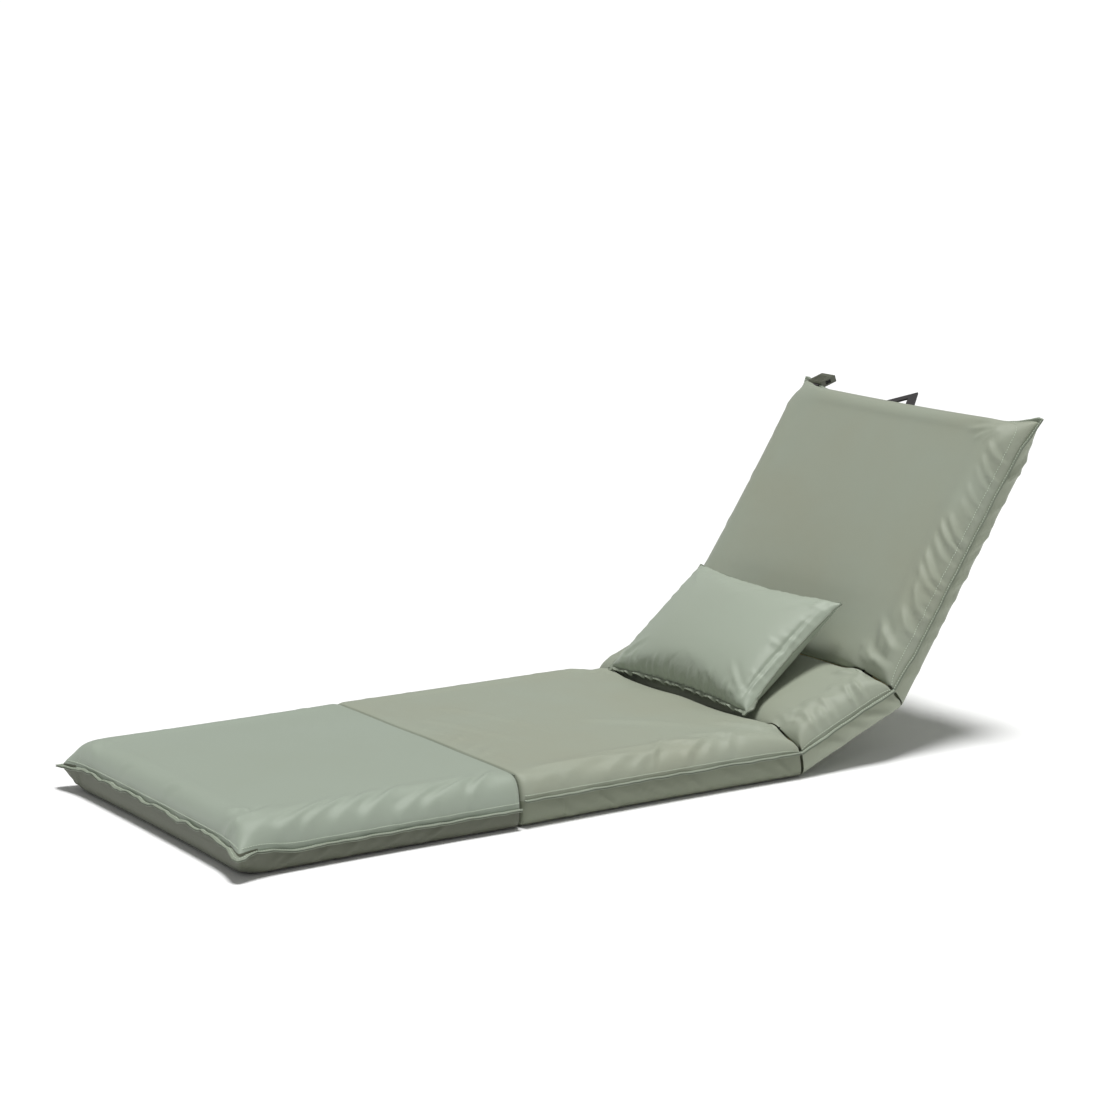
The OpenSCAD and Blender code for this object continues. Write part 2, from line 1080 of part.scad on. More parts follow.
// Moves to the bend line at y and turns to the leaning webbing
module leaning(y, lean) {
  translate([0, y, seam_top_z])
    rotate([-lean, 0, 0])
      children();
}

// A strip of folded webbing: flat on the seam up to the bend at y, then leaning for l
module bent_strip(w, y, l, lean) {
  translate([0, y, seam_top_z])
    across(w)
      polygon([
        [-sewn_l, 0],
        [0, 0],
        [l * cos(lean), -l * sin(lean)],
        [l * cos(lean) + fold_t * sin(lean), fold_t * cos(lean) - l * sin(lean)],
        [fold_t * tan(lean / 2), fold_t],
        [-sewn_l, fold_t]
      ]);
}

module carry_handle() {
  bend_y = top_seam_y + soft_gap;
  slope = handle_h / handle_half;
  leg_w = handle_w * sqrt(1 + slope * slope);
  foot_w = leg_w / slope;
  color(webbing_colour)
    at_back()
      translate([handle_x, 0, 0])
        union() {
          for (s = [-1, 1])
            translate([s * (handle_half - foot_w / 2), 0, 0])
              bent_strip(foot_w, bend_y, 0, handle_lean);
          leaning(bend_y, handle_lean)
            linear_extrude(fold_t)
              difference() {
                polygon([
                  [-handle_half, 0],
                  [0, handle_h],
                  [handle_half, 0]
                ]);
                polygon([
                  [-handle_half + foot_w, -cut_over],
                  [0, handle_h - leg_w],
                  [handle_half - foot_w, -cut_over]
                ]);
              }
        }
}

// Side-release clasp: the socket on a short tab, its mate on the closing strap
buckle_inset = 20;
strap_inset = 100;
strap_x = half_w - strap_inset;
buckle_x = half_w - buckle_inset;
buckle_t = 12;
buckle_wall = 2.75;
socket_l = 34;
window_l = 12;
window_y = 10;
prong_l = 20;
prong_w = 5;
tongue_w = 8;
plug_base_l = 18;
tab_out = 6;
slot_w = strap_w * 0.7;
bar_slot_l = 5;
bar_slot_y = 4;

module buckle_tab() {
  color(webbing_colour)
    at_back()
      translate([-buckle_x, 0, 0])
        bent_strip(slot_w, back_l, tab_out, buckle_lean);
}

module buckle_socket() {
  mouth_h = buckle_t - 2 * buckle_wall;
  color(buckle_colour)
    at_back()
      translate([-buckle_x, 0, 0])
        leaning(back_l, buckle_lean)
          translate([0, tab_out, webbing_t])
            difference() {
              across(strap_w)
                polygon([
                  [0, -buckle_t / 2 + buckle_wall],
                  [buckle_wall, -buckle_t / 2],
                  [socket_l, -buckle_t / 2],
                  [socket_l, buckle_t / 2],
                  [buckle_wall, buckle_t / 2],
                  [0, buckle_t / 2 - buckle_wall]
                ]);
              translate([-strap_w / 2 + buckle_wall, window_y, -mouth_h / 2])
                cube([strap_w - 2 * buckle_wall, socket_l, mouth_h]);
              translate([-strap_w / 2 - cut_over, window_y, -mouth_h / 2])
                cube([strap_w + 2 * cut_over, window_l, mouth_h]);
            }
}

module closing_strap() {
  rear = -soft_gap - webbing_t;
  color(webbing_colour)
    at_back()
      translate([strap_x, 0, 0])
        across(strap_w)
          polygon([
            [corner_seam_y, seam_under_z],
            [back_l + webbing_t, seam_under_z],
            [back_l + webbing_t, rear],
            [back_l - strap_l, rear],
            [back_l - strap_l, -soft_gap],
            [back_l, -soft_gap],
            [back_l, seam_under_z - webbing_t],
            [corner_seam_y, seam_under_z - webbing_t]
          ]);
}

// The mate: a base with a slot for the strap, two springy prongs and a tongue
module buckle_plug() {
  mouth_h = buckle_t - 2 * buckle_wall;
  plug_t = mouth_h - 2 * slider_gap;
  color(buckle_colour)
    at_back()
      translate([strap_x, back_l - strap_l, -soft_gap - plug_t / 2])
        mirror([0, 1, 0])
          translate([0, 0, -plug_t / 2])
            linear_extrude(plug_t)
              difference() {
                union() {
                  translate([-strap_w / 2, 0])
                    square([strap_w, plug_base_l]);
                  translate([-tongue_w / 2, plug_base_l])
                    square([tongue_w, prong_l]);
                  for (s = [-1, 1])
                    translate([s * (strap_w / 2 - buckle_wall - prong_w), plug_base_l])
                      union() {
                        translate([-prong_w / 2, 0])
                          square([prong_w, prong_l]);
                        translate([0, prong_l])
                          circle(prong_w * 0.8);
                      }
                }
                translate([-slot_w / 2, bar_slot_y])
                  square([slot_w, bar_slot_l]);
              }
}

module pillow_cover() {
  color(cloth_colour)
    at_pillow()
      difference() {
        pillow_form(1);
        pillow_form(filling_share + 0.01);
      }
}

module pillow_filling() {
  color("white")
    at_pillow()
      pillow_form(filling_share);
}

foot_cover();
foot_foam();
foot_zip();
foot_zip_slider();
fold_seam_welt();
seat_cover();
seat_foam_lower();
seat_foam_upper();
seat_frame();
seat_frame_rivets();
lumbar_hinge_cheeks();
lumbar_hinge_pins();
lumbar_pawl_springs();
lumbar_pawl_left();
lumbar_pawl_right();
lumbar_crease_gusset();
lumbar_cover();
lumbar_foam_lower();
lumbar_foam_upper();
lumbar_frame();
lumbar_frame_rivets();
lumbar_ratchet_plates();
back_hinge_cheeks();
back_hinge_pins();
back_pawl_springs();
back_pawl_left();
back_pawl_right();
back_crease_gusset();
back_cover();
back_foam_lower();
back_foam_upper();
back_frame();
back_frame_rivets();
back_ratchet_plates();
back_zip();
back_zip_slider();
carry_handle();
buckle_tab();
buckle_socket();
closing_strap();
buckle_plug();
pillow_cover();
pillow_filling();
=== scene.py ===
"""Dresses the folding camping recliner: padded covers, seams, stitches, pillow, grip ribs and finishes."""
import logging
import math
from dataclasses import dataclass
from enum import Enum
from typing import Callable, Sequence

import bmesh
import bpy
import numpy as np
from mathutils import Matrix, Vector


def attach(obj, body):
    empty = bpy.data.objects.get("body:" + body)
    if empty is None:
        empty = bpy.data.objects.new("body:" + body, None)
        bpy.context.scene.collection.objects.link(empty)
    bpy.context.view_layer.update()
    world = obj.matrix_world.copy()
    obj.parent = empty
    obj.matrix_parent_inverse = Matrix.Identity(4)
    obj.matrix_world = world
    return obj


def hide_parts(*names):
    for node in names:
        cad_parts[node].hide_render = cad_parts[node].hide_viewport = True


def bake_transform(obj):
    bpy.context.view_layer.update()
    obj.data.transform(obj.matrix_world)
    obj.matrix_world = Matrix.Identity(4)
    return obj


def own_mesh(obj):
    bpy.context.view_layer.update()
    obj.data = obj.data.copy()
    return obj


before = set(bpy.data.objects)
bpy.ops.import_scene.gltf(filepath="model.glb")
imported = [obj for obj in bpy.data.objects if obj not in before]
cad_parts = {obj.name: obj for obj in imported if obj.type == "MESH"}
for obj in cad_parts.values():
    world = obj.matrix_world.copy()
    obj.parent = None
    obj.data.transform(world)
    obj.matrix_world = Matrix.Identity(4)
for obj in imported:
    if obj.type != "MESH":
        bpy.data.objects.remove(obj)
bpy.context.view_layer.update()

LOG = logging.getLogger("recliner")
Array = np.ndarray

# Driving sizes of the object, in metres, the same as the solids'
HALF_W = 0.300
SEAM_Z = 0.043
EDGE_Z = 0.082
CROWN = 0.004
FOOT_L, SEAT_L, LUMBAR_L, BACK_L = 0.484, 0.532, 0.205, 0.500
LUMBAR_ANGLE = math.radians(22.5)
BACK_ANGLE = math.radians(33.75)
RAIL_X = 0.235
BUCKLE_LEAN = math.radians(38)
# Cloth turns over this distance to each side of a hinge; short, so that the foam stays under it
CREASE_REACH = 0.028
# Half sizes of the room for a hinge: across, along and up
HINGE_ROOM = (0.0088, 0.041, 0.031)
# Height of the crease line in the middle, its fall towards the sides and its rise over a hinge
VALLEY_Z, VALLEY_FALL, VALLEY_RISE = 0.066, 0.019, 0.012
BOX_FACES = ((0, 1, 3, 2), (4, 6, 7, 5), (0, 4, 5, 1), (2, 3, 7, 6), (0, 2, 6, 4), (1, 5, 7, 3))
# Past this distance from the middle, cloth belongs to the sides
SIDE_X = 0.26
# Step in of the walls where they are fullest, plan radius of a fold's corners, and how far the
# hidden end walls are drawn in
WALL_IN, FOLD_RADIUS, HOLLOW = 0.005, 0.011, 0.010
# How firmly cloth keeps its place: sides, rim of the top, middle of the top, lower band, fold
PIN_SIDE, PIN_RIM, PIN_TOP, PIN_BAND, PIN_FOLD = 0.03, 0.10, 0.22, 0.12, 0.8
# Small wrinkles of the lower band, least and most: slant, half width, height and distance
BAND_SLANT, BAND_WIDTH = (-2.6, -0.8), (0.005, 0.010)
BAND_HEIGHT, BAND_PITCH = (0.0008, 0.0036), (0.018, 0.06)
# An upright seam of the lower band: half width and depth
BAND_SEAM_WIDTH, BAND_SEAM_DEPTH = 0.0024, 0.0016
# Most spare cloth of a section's cover and of the pillow's, as a share of its length
SPARE_CLOTH, PILLOW_SPARE = 0.15, 0.07
# Stitches lie this far over the cloth; those of a seam at this share of its flange and this high
STITCH_LIFT = 0.0002
SEAM_STITCH_OUT, SEAM_STITCH_UP = 0.45, 0.0018
FOLD_Y = -SEAT_L / 2
HINGE_Y = SEAT_L / 2


class End(Enum):
    """How an end of a padded section is made."""

    FREE = "free"
    FOLD = "fold"
    CREASE = "crease"


class Slot(Enum):
    """Material slots of the record."""

    FABRIC = "cover_fabric"
    FOAM = "foam"
    FILLING = "filling"
    FRAME = "frame_steel"
    HINGE = "hinge_steel"
    WEBBING = "webbing"
    ZIP = "zip"
    BUCKLE = "buckle"


def smooth(t: Array) -> Array:
    """Smoothstep of t clipped to 0 to 1."""
    t = np.clip(t, 0.0, 1.0)
    return t * t * (3.0 - 2.0 * t)


def wave_noise(s: Array, period: float, seed: int) -> Array:
    """Smooth seeded noise along a line.

    Args:
        s: Distances along the line in metres.
        period: Typical length of one wave in metres.
        seed: Seed of the wave's phases.

    Returns:
        Values from about -1 to 1.
    """
    rng = np.random.default_rng(seed)
    out = np.zeros_like(np.asarray(s, float))
    for share, amount in ((1.0, 0.5), (0.62, 0.32), (1.71, 0.34), (0.37, 0.16)):
        out = out + amount * np.sin(2 * math.pi * s / (period * share) + rng.uniform(0, 6.28))
    return out


def surface_box(nx: int, ny: int, nz: int) -> tuple[Array, Array]:
    """Surface of a box of cells.

    Args:
        nx: Cells across.
        ny: Cells along.
        nz: Cells up.

    Returns:
        Whole-number places of the surface points, and the quads, facing out.
    """
    size = (nx, ny, nz)
    keys = [key for key in np.ndindex(nx + 1, ny + 1, nz + 1) if any(n in (0, m) for n, m in zip(key, size))]
    index = {key: n for n, key in enumerate(keys)}
    sides = (
        (0, 1, ((0, -1), (nz, 1))),
        (0, 2, ((0, 1), (ny, -1))),
        (1, 2, ((nx, 1), (0, -1))),
    )
    quads = []
    for a, b, ends in sides:
        for p, q in np.ndindex(size[a], size[b]):
            for at, turn in ends:
                quad = []
                for da, db in ((0, 0), (1, 0), (1, 1), (0, 1)):
                    key = [at, at, at]
                    key[a], key[b] = p + da, q + db
                    quad.append(index[tuple(key)])
                quads.append(quad[::turn])
    return np.array(keys), np.array(quads)


# Rows of a section's side: below the seam (height in m, step in, corner radius)
ROWS_BELOW = (
    (0.0000, 0.024, 0.040),
    (0.0028, 0.0135, 0.034),
    (0.0095, 0.0080, 0.026),
    (0.0190, 0.0058, 0.016),
    (0.0310, 0.0050, 0.007),
    (SEAM_Z, 0.0050, 0.001),
)
# Above the seam (share of the way up to the crown's edge, step in, corner radius)
ROWS_ABOVE = (
    (0.20, 0.0050, 0.008),
    (0.44, 0.0072, 0.016),
    (0.66, 0.0100, 0.024),
    (0.82, 0.0138, 0.030),
    (0.92, 0.0188, 0.035),
    (0.98, 0.0250, 0.039),
    (1.00, 0.0330, 0.042),
)
SEAM_ROW = len(ROWS_BELOW) - 1
TOP_ROW = len(ROWS_BELOW) + len(ROWS_ABOVE) - 1
FOLD_STEP = (0, 0, 0, 0, 0, 0, 0, 0, 0.0001, 0.0005, 0.0013, 0.0028, 0.0052)
CELL_ACROSS, CELL_ALONG = 0.0120, 0.0053
FOLD_WAVE = 0.0024


@dataclass(frozen=True)
class Crease:
    """One drawn fold line of the cloth, on a section's top or the pillow's front.

    Attributes:
        a: Start (x, y) in the piece's own frame, in metres.
        b: End (x, y) in the piece's own frame, in metres.
        width: Half width of the ridge in metres.
        depth: Height of the ridge in metres, below zero for a furrow.
    """

    a: tuple[float, float]
    b: tuple[float, float]
    width: float
    depth: float


def across_share(i: Array, nx: int) -> Array:
    """Share across, -1 to 1, of a column of cells; the cells are narrower near the sides."""
    t = 2 * i / nx - 1.0
    return t + 0.25 * t * (1 - t * t)


def fold_wave(x: Array) -> Array:
    """Slow curve of the fold seam between the foot and the seat."""
    return FOLD_WAVE * (np.sin(x * 9.0 + 0.6) + 0.35 * np.sin(x * 31.0 + 1.0))


def folds(*rows: tuple[float, ...]) -> tuple[Crease, ...]:
    """Single fold lines: x and y of the start, x and y of the end, width and depth."""
    return tuple(Crease(row[:2], row[2:4], *row[4:]) for row in rows)


def fan(
    x: float, y: float, reach: float, turns: Sequence[float], width: float, depth: float
) -> tuple[Crease, ...]:
    """Pinched folds that spread from a point, at the given turns in degrees."""
    out = []
    for n, turn in enumerate(turns):
        c, s = math.cos(math.radians(turn)), math.sin(math.radians(turn))
        far = reach * (1.0 - 0.22 * (n % 3))
        out.append(Crease((x + 0.006 * c, y + 0.006 * s), (x + far * c, y + far * s), width, depth))
    return tuple(out)


def pulls(
    side: int, start: float, end: float, pitch: float, slant: float, reach: float,
    depth: float, width: float, seed: int,
) -> tuple[Crease, ...]:
    """Pull wrinkles along one side of a section, between its seam and its top.

    Args:
        side: 1 for the near side, -1 for the far side.
        start: Distance along where they start, in metres.
        end: Distance along where they end.
        pitch: Typical distance between two of them.
        slant: How far the top of a wrinkle lies past its foot.
        reach: How far they reach over the top.
        depth: Height of the ridges.
        width: Half width of the ridges.
        seed: Seed of their places.
    """
    rng = np.random.default_rng(seed)
    out, y = [], start
    while y < end:
        over = reach * rng.uniform(0.35, 1.25)
        lean = slant * rng.uniform(0.75, 1.25)
        tall = depth * rng.uniform(0.45, 1.2)
        a = (side * (HALF_W - 0.006), y)
        b = (side * (HALF_W - 0.028 - over), y + lean)
        out.append(Crease(a, b, width * rng.uniform(0.75, 1.25), tall))
        y += pitch * rng.uniform(0.6, 1.5)
    return tuple(out)


@dataclass(frozen=True)
class Pad:
    """One padded section of the recliner.

    Attributes:
        name: Name of the section.
        length: Length from its lower end to its upper end in metres.
        start: Make of its lower end.
        end: Make of its upper end.
        start_half: Half of the crease angle at its lower end.
        end_half: Half of the crease angle at its upper end.
        draw_in: How far the sides are drawn in between the corners.
        soft_start: Distance over which the top falls into the lower crease.
        soft_end: Distance over which the top falls into the upper crease.
        seed: Seed of its wrinkles.
        creases: Drawn fold lines.
        corner: Scale of the plan radii at its free corners.
        ear_out: How far the seam's ears reach out.
        ear_reach: Size of the ears.
        ear_drop: How far the ears hang down.
        flange_wave: Extra waves of the seam flange at its free end.
        flange_w: Width of the seam flange.
        end_full: Scale of how far its free end steps in above the seam.
        seam_drop: How far the seam sags along the sides.
        stitch_row: Rows of cells from the seam up to the topstitching.
        band_seams: Distances along of upright seams in its lower band, near side.
    """

    name: str
    length: float
    start: End
    end: End
    start_half: float = 0.0
    end_half: float = 0.0
    draw_in: float = 0.004
    soft_start: float = 0.045
    soft_end: float = 0.055
    seed: int = 1
    creases: tuple[Crease, ...] = ()
    corner: float = 1.0
    ear_out: float = 0.011
    ear_reach: float = 0.034
    ear_drop: float = 0.007
    flange_wave: float = 0.0
    flange_w: float = 0.0060
    end_full: float = 1.0
    seam_drop: float = 0.0
    stitch_row: int = 1
    band_seams: tuple[float, ...] = ()

    def place(self) -> Matrix:
        """Matrix from the section's own frame to the row frame."""
        seat = Matrix.Translation((0, FOLD_Y, 0))
        if self.name == "foot":
            return seat @ Matrix.Scale(-1, 4, (0, 1, 0))
        if self.name == "seat":
            return seat
        up, down = Matrix.Translation((0, 0, SEAM_Z)), Matrix.Translation((0, 0, -SEAM_Z))
        lumbar = Matrix.Translation((0, HINGE_Y, 0)) @ up @ Matrix.Rotation(LUMBAR_ANGLE, 4, "X") @ down
        if self.name == "lumbar":
            return lumbar
        hinge = Matrix.Translation((0, LUMBAR_L, 0)) @ up @ Matrix.Rotation(BACK_ANGLE, 4, "X") @ down
        return lumbar @ hinge

    def seam(self, y: Array) -> Array:
        """Height of the seam at distance y along."""
        drop = self.seam_drop * np.ones_like(np.asarray(y, float))
        if self.end is End.FREE:
            drop = drop * smooth((self.length - y - 0.01) / 0.09)
        if self.start is End.CREASE:
            drop = drop * smooth(y / 0.09)
        return SEAM_Z - drop

    def valley(self, x: Array) -> Array:
        """Height of the crease line over the underside at x, with a rise over each hinge."""
        ax = np.abs(x)
        rise = VALLEY_RISE * np.exp(-(((ax - RAIL_X) / 0.024) ** 2))
        low = VALLEY_Z - VALLEY_FALL * smooth((ax - RAIL_X) / 0.055)
        return low + rise

    def top(self, u: Array, y: Array) -> Array:
        """Height of the top at share u across and distance y along."""
        v = np.clip(2 * y / self.length - 1, -1, 1)
        height = EDGE_Z + CROWN * (1 - u * u) * (1 - v * v)
        x = u * (HALF_W - 0.02)
        for end, gap, soft in (
            (self.start, y, self.soft_start),
            (self.end, self.length - y, self.soft_end),
        ):
            if end is End.CREASE:
                reach = soft * (1.0 + 0.35 * np.sin(9.0 * u + self.seed))
                t = np.clip(gap / reach, 0, 1)
                dip = self.valley(x)
                height = np.minimum(height, dip + (height - dip) * np.sqrt(1 - (1 - t) ** 2.2))
        return height

    def end_step(self, end: End, half: float, k: Array, z: Array, inset: Array, u: Array) -> Array:
        """How far an end stands back at row k and height z."""
        if end is End.FREE:
            full = np.where(k > SEAM_ROW, self.end_full, 1.0)
            return WALL_IN + (inset - WALL_IN) * full + self.draw_in * (1 - u * u)
        if end is End.FOLD:
            return 0.0004 + np.array(FOLD_STEP)[k]
        return (z - SEAM_Z) * math.tan(half)

    def shape(self, keys: Array, nx: int, ny: int) -> Array:
        """Points of the section for places on a box of cells."""
        table = np.array(ROWS_BELOW + ROWS_ABOVE)
        k = keys[:, 2]
        u, v = across_share(keys[:, 0], nx), keys[:, 1] / ny
        y_flat = v * self.length
        top = self.top(u, y_flat)
        above = k > SEAM_ROW
        value, inset, radius = table[k].T
        seam = self.seam(y_flat)
        z = np.where(above, seam + value * (top - seam), value * seam / SEAM_Z)
        full = np.clip((top - SEAM_Z) / (EDGE_Z - SEAM_Z), 0.12, 1.0)
        inset = np.where(above, WALL_IN + (inset - WALL_IN) * full, inset)
        y0 = self.end_step(self.start, self.start_half, k, z, inset, u)
        y1 = self.length - self.end_step(self.end, self.end_half, k, z, inset, u)
        a = HALF_W - inset - self.draw_in * (1 - (2 * v - 1) ** 2)
        x, y = u * a, y0 + (y1 - y0) * v
        for end, toward in ((self.start, -1), (self.end, 1)):
            if end is End.CREASE:
                continue
            r = radius * self.corner if end is End.FREE else np.full_like(radius, FOLD_RADIUS)
            b = (y1 - y0) / 2
            middle = (y0 + y1) / 2
            p = (np.abs(x) - (a - r)) / r
            q = (toward * (y - middle) - (b - r)) / r
            inside = (p > 0) & (q > 0)
            m = np.maximum(p, q)
            with np.errstate(divide="ignore", invalid="ignore"):
                t = np.where(p >= q, q / p * math.pi / 4, math.pi / 2 - p / q * math.pi / 4)
            x = np.where(inside, np.sign(x) * (a - r + r * m * np.cos(t)), x)
            y = np.where(inside, middle + toward * (b - r + r * m * np.sin(t)), y)
        if self.start is End.FOLD:
            y = y + fold_wave(x) * np.exp(-y / 0.02) * (1 if self.name == "seat" else -1)
        points = np.stack([x, y, z], 1)
        points += self.ear(points, k)
        return self.hollow_ends(points, keys, nx, ny)

    def ear(self, points: Array, k: Array) -> Array:
        """Moves of the free corners to the pointed ears of the seam."""
        moves = np.zeros_like(points)
        for end, y_end, toward in ((self.start, 0.0, -1), (self.end, self.length, 1)):
            if end is not End.FREE:
                continue
            for side in (-1, 1):
                away = np.hypot(points[:, 0] - side * HALF_W, points[:, 1] - y_end)
                pull = np.exp(-((away / self.ear_reach) ** 1.6)) * np.exp(-(((k - SEAM_ROW) / 1.3) ** 2))
                moves[:, 0] += side * self.ear_out * pull
                moves[:, 1] += toward * self.ear_out * pull
                moves[:, 2] -= self.ear_drop * pull
        return moves

    def hollow_ends(self, points: Array, keys: Array, nx: int, ny: int) -> Array:
        """Draws the hidden end walls in, so that neighbours touch only along their rims."""
        i, j, k = keys.T
        inner = (i > 0) & (i < nx) & (k > 0) & (k < TOP_ROW)
        depth = HOLLOW * np.minimum(1, np.minimum(k, TOP_ROW - k) / 2.0)
        for end, edge, toward in ((self.start, j == 0, 1), (self.end, j == ny, -1)):
            if end is End.CREASE:
                points[:, 1] += toward * np.where(inner & edge, depth, 0)
        return points


def link_object(name: str, data: bpy.types.ID) -> bpy.types.Object:
    """Makes an object of some data and puts it in the scene."""
    obj = bpy.data.objects.new(name, data)
    bpy.context.scene.collection.objects.link(obj)
    return obj


def new_mesh(name: str, points: Array, faces: Sequence, place: Matrix | None = None) -> bpy.types.Object:
    """Makes a smooth-shaded mesh object at the origin.

    Args:
        name: Name of the object.
        points: Its points.
        faces: Its faces, facing out before the placing.
        place: Matrix that its points are moved by.

    Returns:
        The object, linked to the scene.
    """
    mesh = bpy.data.meshes.new(name)
    turned = place is not None and place.determinant() < 0
    listed = [list(map(int, f)) for f in faces]
    mesh.from_pydata(np.asarray(points, float).tolist(), [], [f[::-1] for f in listed] if turned else listed)
    if place is not None:
        mesh.transform(place)
    mesh.polygons.foreach_set("use_smooth", [True] * len(mesh.polygons))
    mesh.update()
    return link_object(name, mesh)


def closed_mesh(name: str, points: Array, faces: Sequence, place: Matrix | None = None) -> bpy.types.Object:
    """Makes a mesh object as new_mesh does, and turns its faces outwards."""
    obj = new_mesh(name, points, faces, place)
    bm = bmesh.new()
    bm.from_mesh(obj.data)
    bmesh.ops.recalc_face_normals(bm, faces=bm.faces)
    bm.to_mesh(obj.data)
    bm.free()
    obj.data.update()
    return obj


def read_points(obj: bpy.types.Object, what: str) -> Array:
    """One vector for each point of a mesh object."""
    out = np.zeros(len(obj.data.vertices) * 3, np.float32)
    obj.data.vertices.foreach_get(what, out)
    return out.reshape(-1, 3).astype(float)


def coordinates(obj: bpy.types.Object) -> Array:
    """Points of a mesh object."""
    return read_points(obj, "co")


def set_coordinates(obj: bpy.types.Object, co: Array) -> None:
    """Writes the points of a mesh object."""
    obj.data.vertices.foreach_set("co", np.asarray(co, np.float32).ravel())
    obj.data.update()


def normals(obj: bpy.types.Object) -> Array:
    """Point normals of a mesh object."""
    return read_points(obj, "normal")


def write_uv(obj: bpy.types.Object, flat: Array) -> None:
    """Writes the cloth map, one pair for each point."""
    layer = obj.data.uv_layers.new(name="cloth")
    loops = np.zeros(len(obj.data.loops), np.int32)
    obj.data.loops.foreach_get("vertex_index", loops)
    layer.data.foreach_set("uv", flat[loops].astype(np.float32).ravel())


def bake(obj: bpy.types.Object) -> None:
    """Replaces an object's mesh by what its modifiers make of it."""
    graph = bpy.context.evaluated_depsgraph_get()
    made = bpy.data.meshes.new_from_object(obj.evaluated_get(graph))
    old = obj.data
    obj.modifiers.clear()
    obj.data = made
    bpy.data.meshes.remove(old)


def subdivide(obj: bpy.types.Object) -> None:
    """Subdivides an object smoothly, once, and keeps the result as its mesh."""
    modifier = obj.modifiers.new("smooth", "SUBSURF")
    modifier.levels = modifier.render_levels = 1
    modifier.boundary_smooth = "PRESERVE_CORNERS"
    bake(obj)


@dataclass
class ClothRun:
    """Settings of one cloth simulation.

    Attributes:
        frames: Last frame of the run.
        pressure: Air pressure inside the cover.
        bending: Bending stiffness.
        cap: Furthest that a point may move, in metres.
    """

    frames: int = 20
    pressure: float = 3.0
    bending: float = 0.35
    cap: float = 0.022

    def run(self, obj: bpy.types.Object, pins: Array, gather: Array, most: float) -> None:
        """Simulates the cover as gathered cloth and keeps the result.

        Args:
            obj: Closed mesh of the cover.
            pins: How firmly each point keeps its place, 0 to 1.
            gather: Share of the most spare cloth at each point.
            most: Spare cloth where gather is 1, as a share of its length.
        """
        before = coordinates(obj)
        held = obj.vertex_groups.new(name="held")
        loose = obj.vertex_groups.new(name="loose")
        for group, weights in ((held, pins), (loose, gather)):
            for n, w in enumerate(np.round(weights, 3)):
                if w > 0:
                    group.add([n], float(w), "REPLACE")
        cloth = obj.modifiers.new("cloth", "CLOTH")
        settings = {
            "quality": 5,
            "mass": 0.25,
            "tension_stiffness": 18,
            "compression_stiffness": 18,
            "shear_stiffness": 8,
            "bending_stiffness": self.bending,
            "tension_damping": 6,
            "compression_damping": 6,
            "bending_damping": 0.6,
            "air_damping": 4,
            "vertex_group_mass": "held",
            "pin_stiffness": 1.0,
            "use_pressure": True,
            "uniform_pressure_force": self.pressure,
            "vertex_group_shrink": "loose",
            "shrink_min": 0.0,
            "shrink_max": -most,
        }
        for key, value in settings.items():
            setattr(cloth.settings, key, value)
        cloth.settings.effector_weights.gravity = 0
        cloth.collision_settings.use_collision = False
        cloth.collision_settings.use_self_collision = False
        cloth.point_cache.frame_start, cloth.point_cache.frame_end = 1, self.frames
        scene = bpy.context.scene
        for f in range(1, self.frames + 1):
            scene.frame_set(f)
        bake(obj)
        scene.frame_set(1)
        move = coordinates(obj) - before
        length = np.maximum(np.linalg.norm(move, axis=1, keepdims=True), 1e-9)
        set_coordinates(obj, before + move * np.minimum(1.0, self.cap / length))
        obj.vertex_groups.clear()


def emboss(obj: bpy.types.Object, creases: Sequence[Crease], weight: Array) -> None:
    """Raises drawn fold lines on a mesh, each with a furrow beside it.

    Args:
        obj: The mesh, in its own frame.
        creases: The fold lines, seen along z.
        weight: How much each point takes part.
    """
    co, n = coordinates(obj), normals(obj)
    amount = np.zeros(len(co))
    for c in creases:
        a, b = np.array(c.a), np.array(c.b)
        line = b - a
        t = np.clip(((co[:, :2] - a) @ line) / (line @ line), 0, 1)
        bow = 0.03 * np.linalg.norm(line) * np.sin(math.pi * t)
        side = (co[:, 0] - a[0]) * line[1] - (co[:, 1] - a[1]) * line[0]
        gap = side / np.linalg.norm(line) + bow
        past = np.linalg.norm(co[:, :2] - (a + t[:, None] * line), axis=1)
        gap = np.where((t > 0) & (t < 1), gap, past)
        taper = smooth(t / 0.18) * smooth((1 - t) / 0.45)
        amount += c.depth * taper * np.exp(-(np.abs(gap / c.width) ** 1.5))
        amount -= 0.60 * c.depth * taper * np.exp(-(((gap - 1.7 * c.width) / c.width) ** 2))
    set_coordinates(obj, co + n * (amount * weight)[:, None])


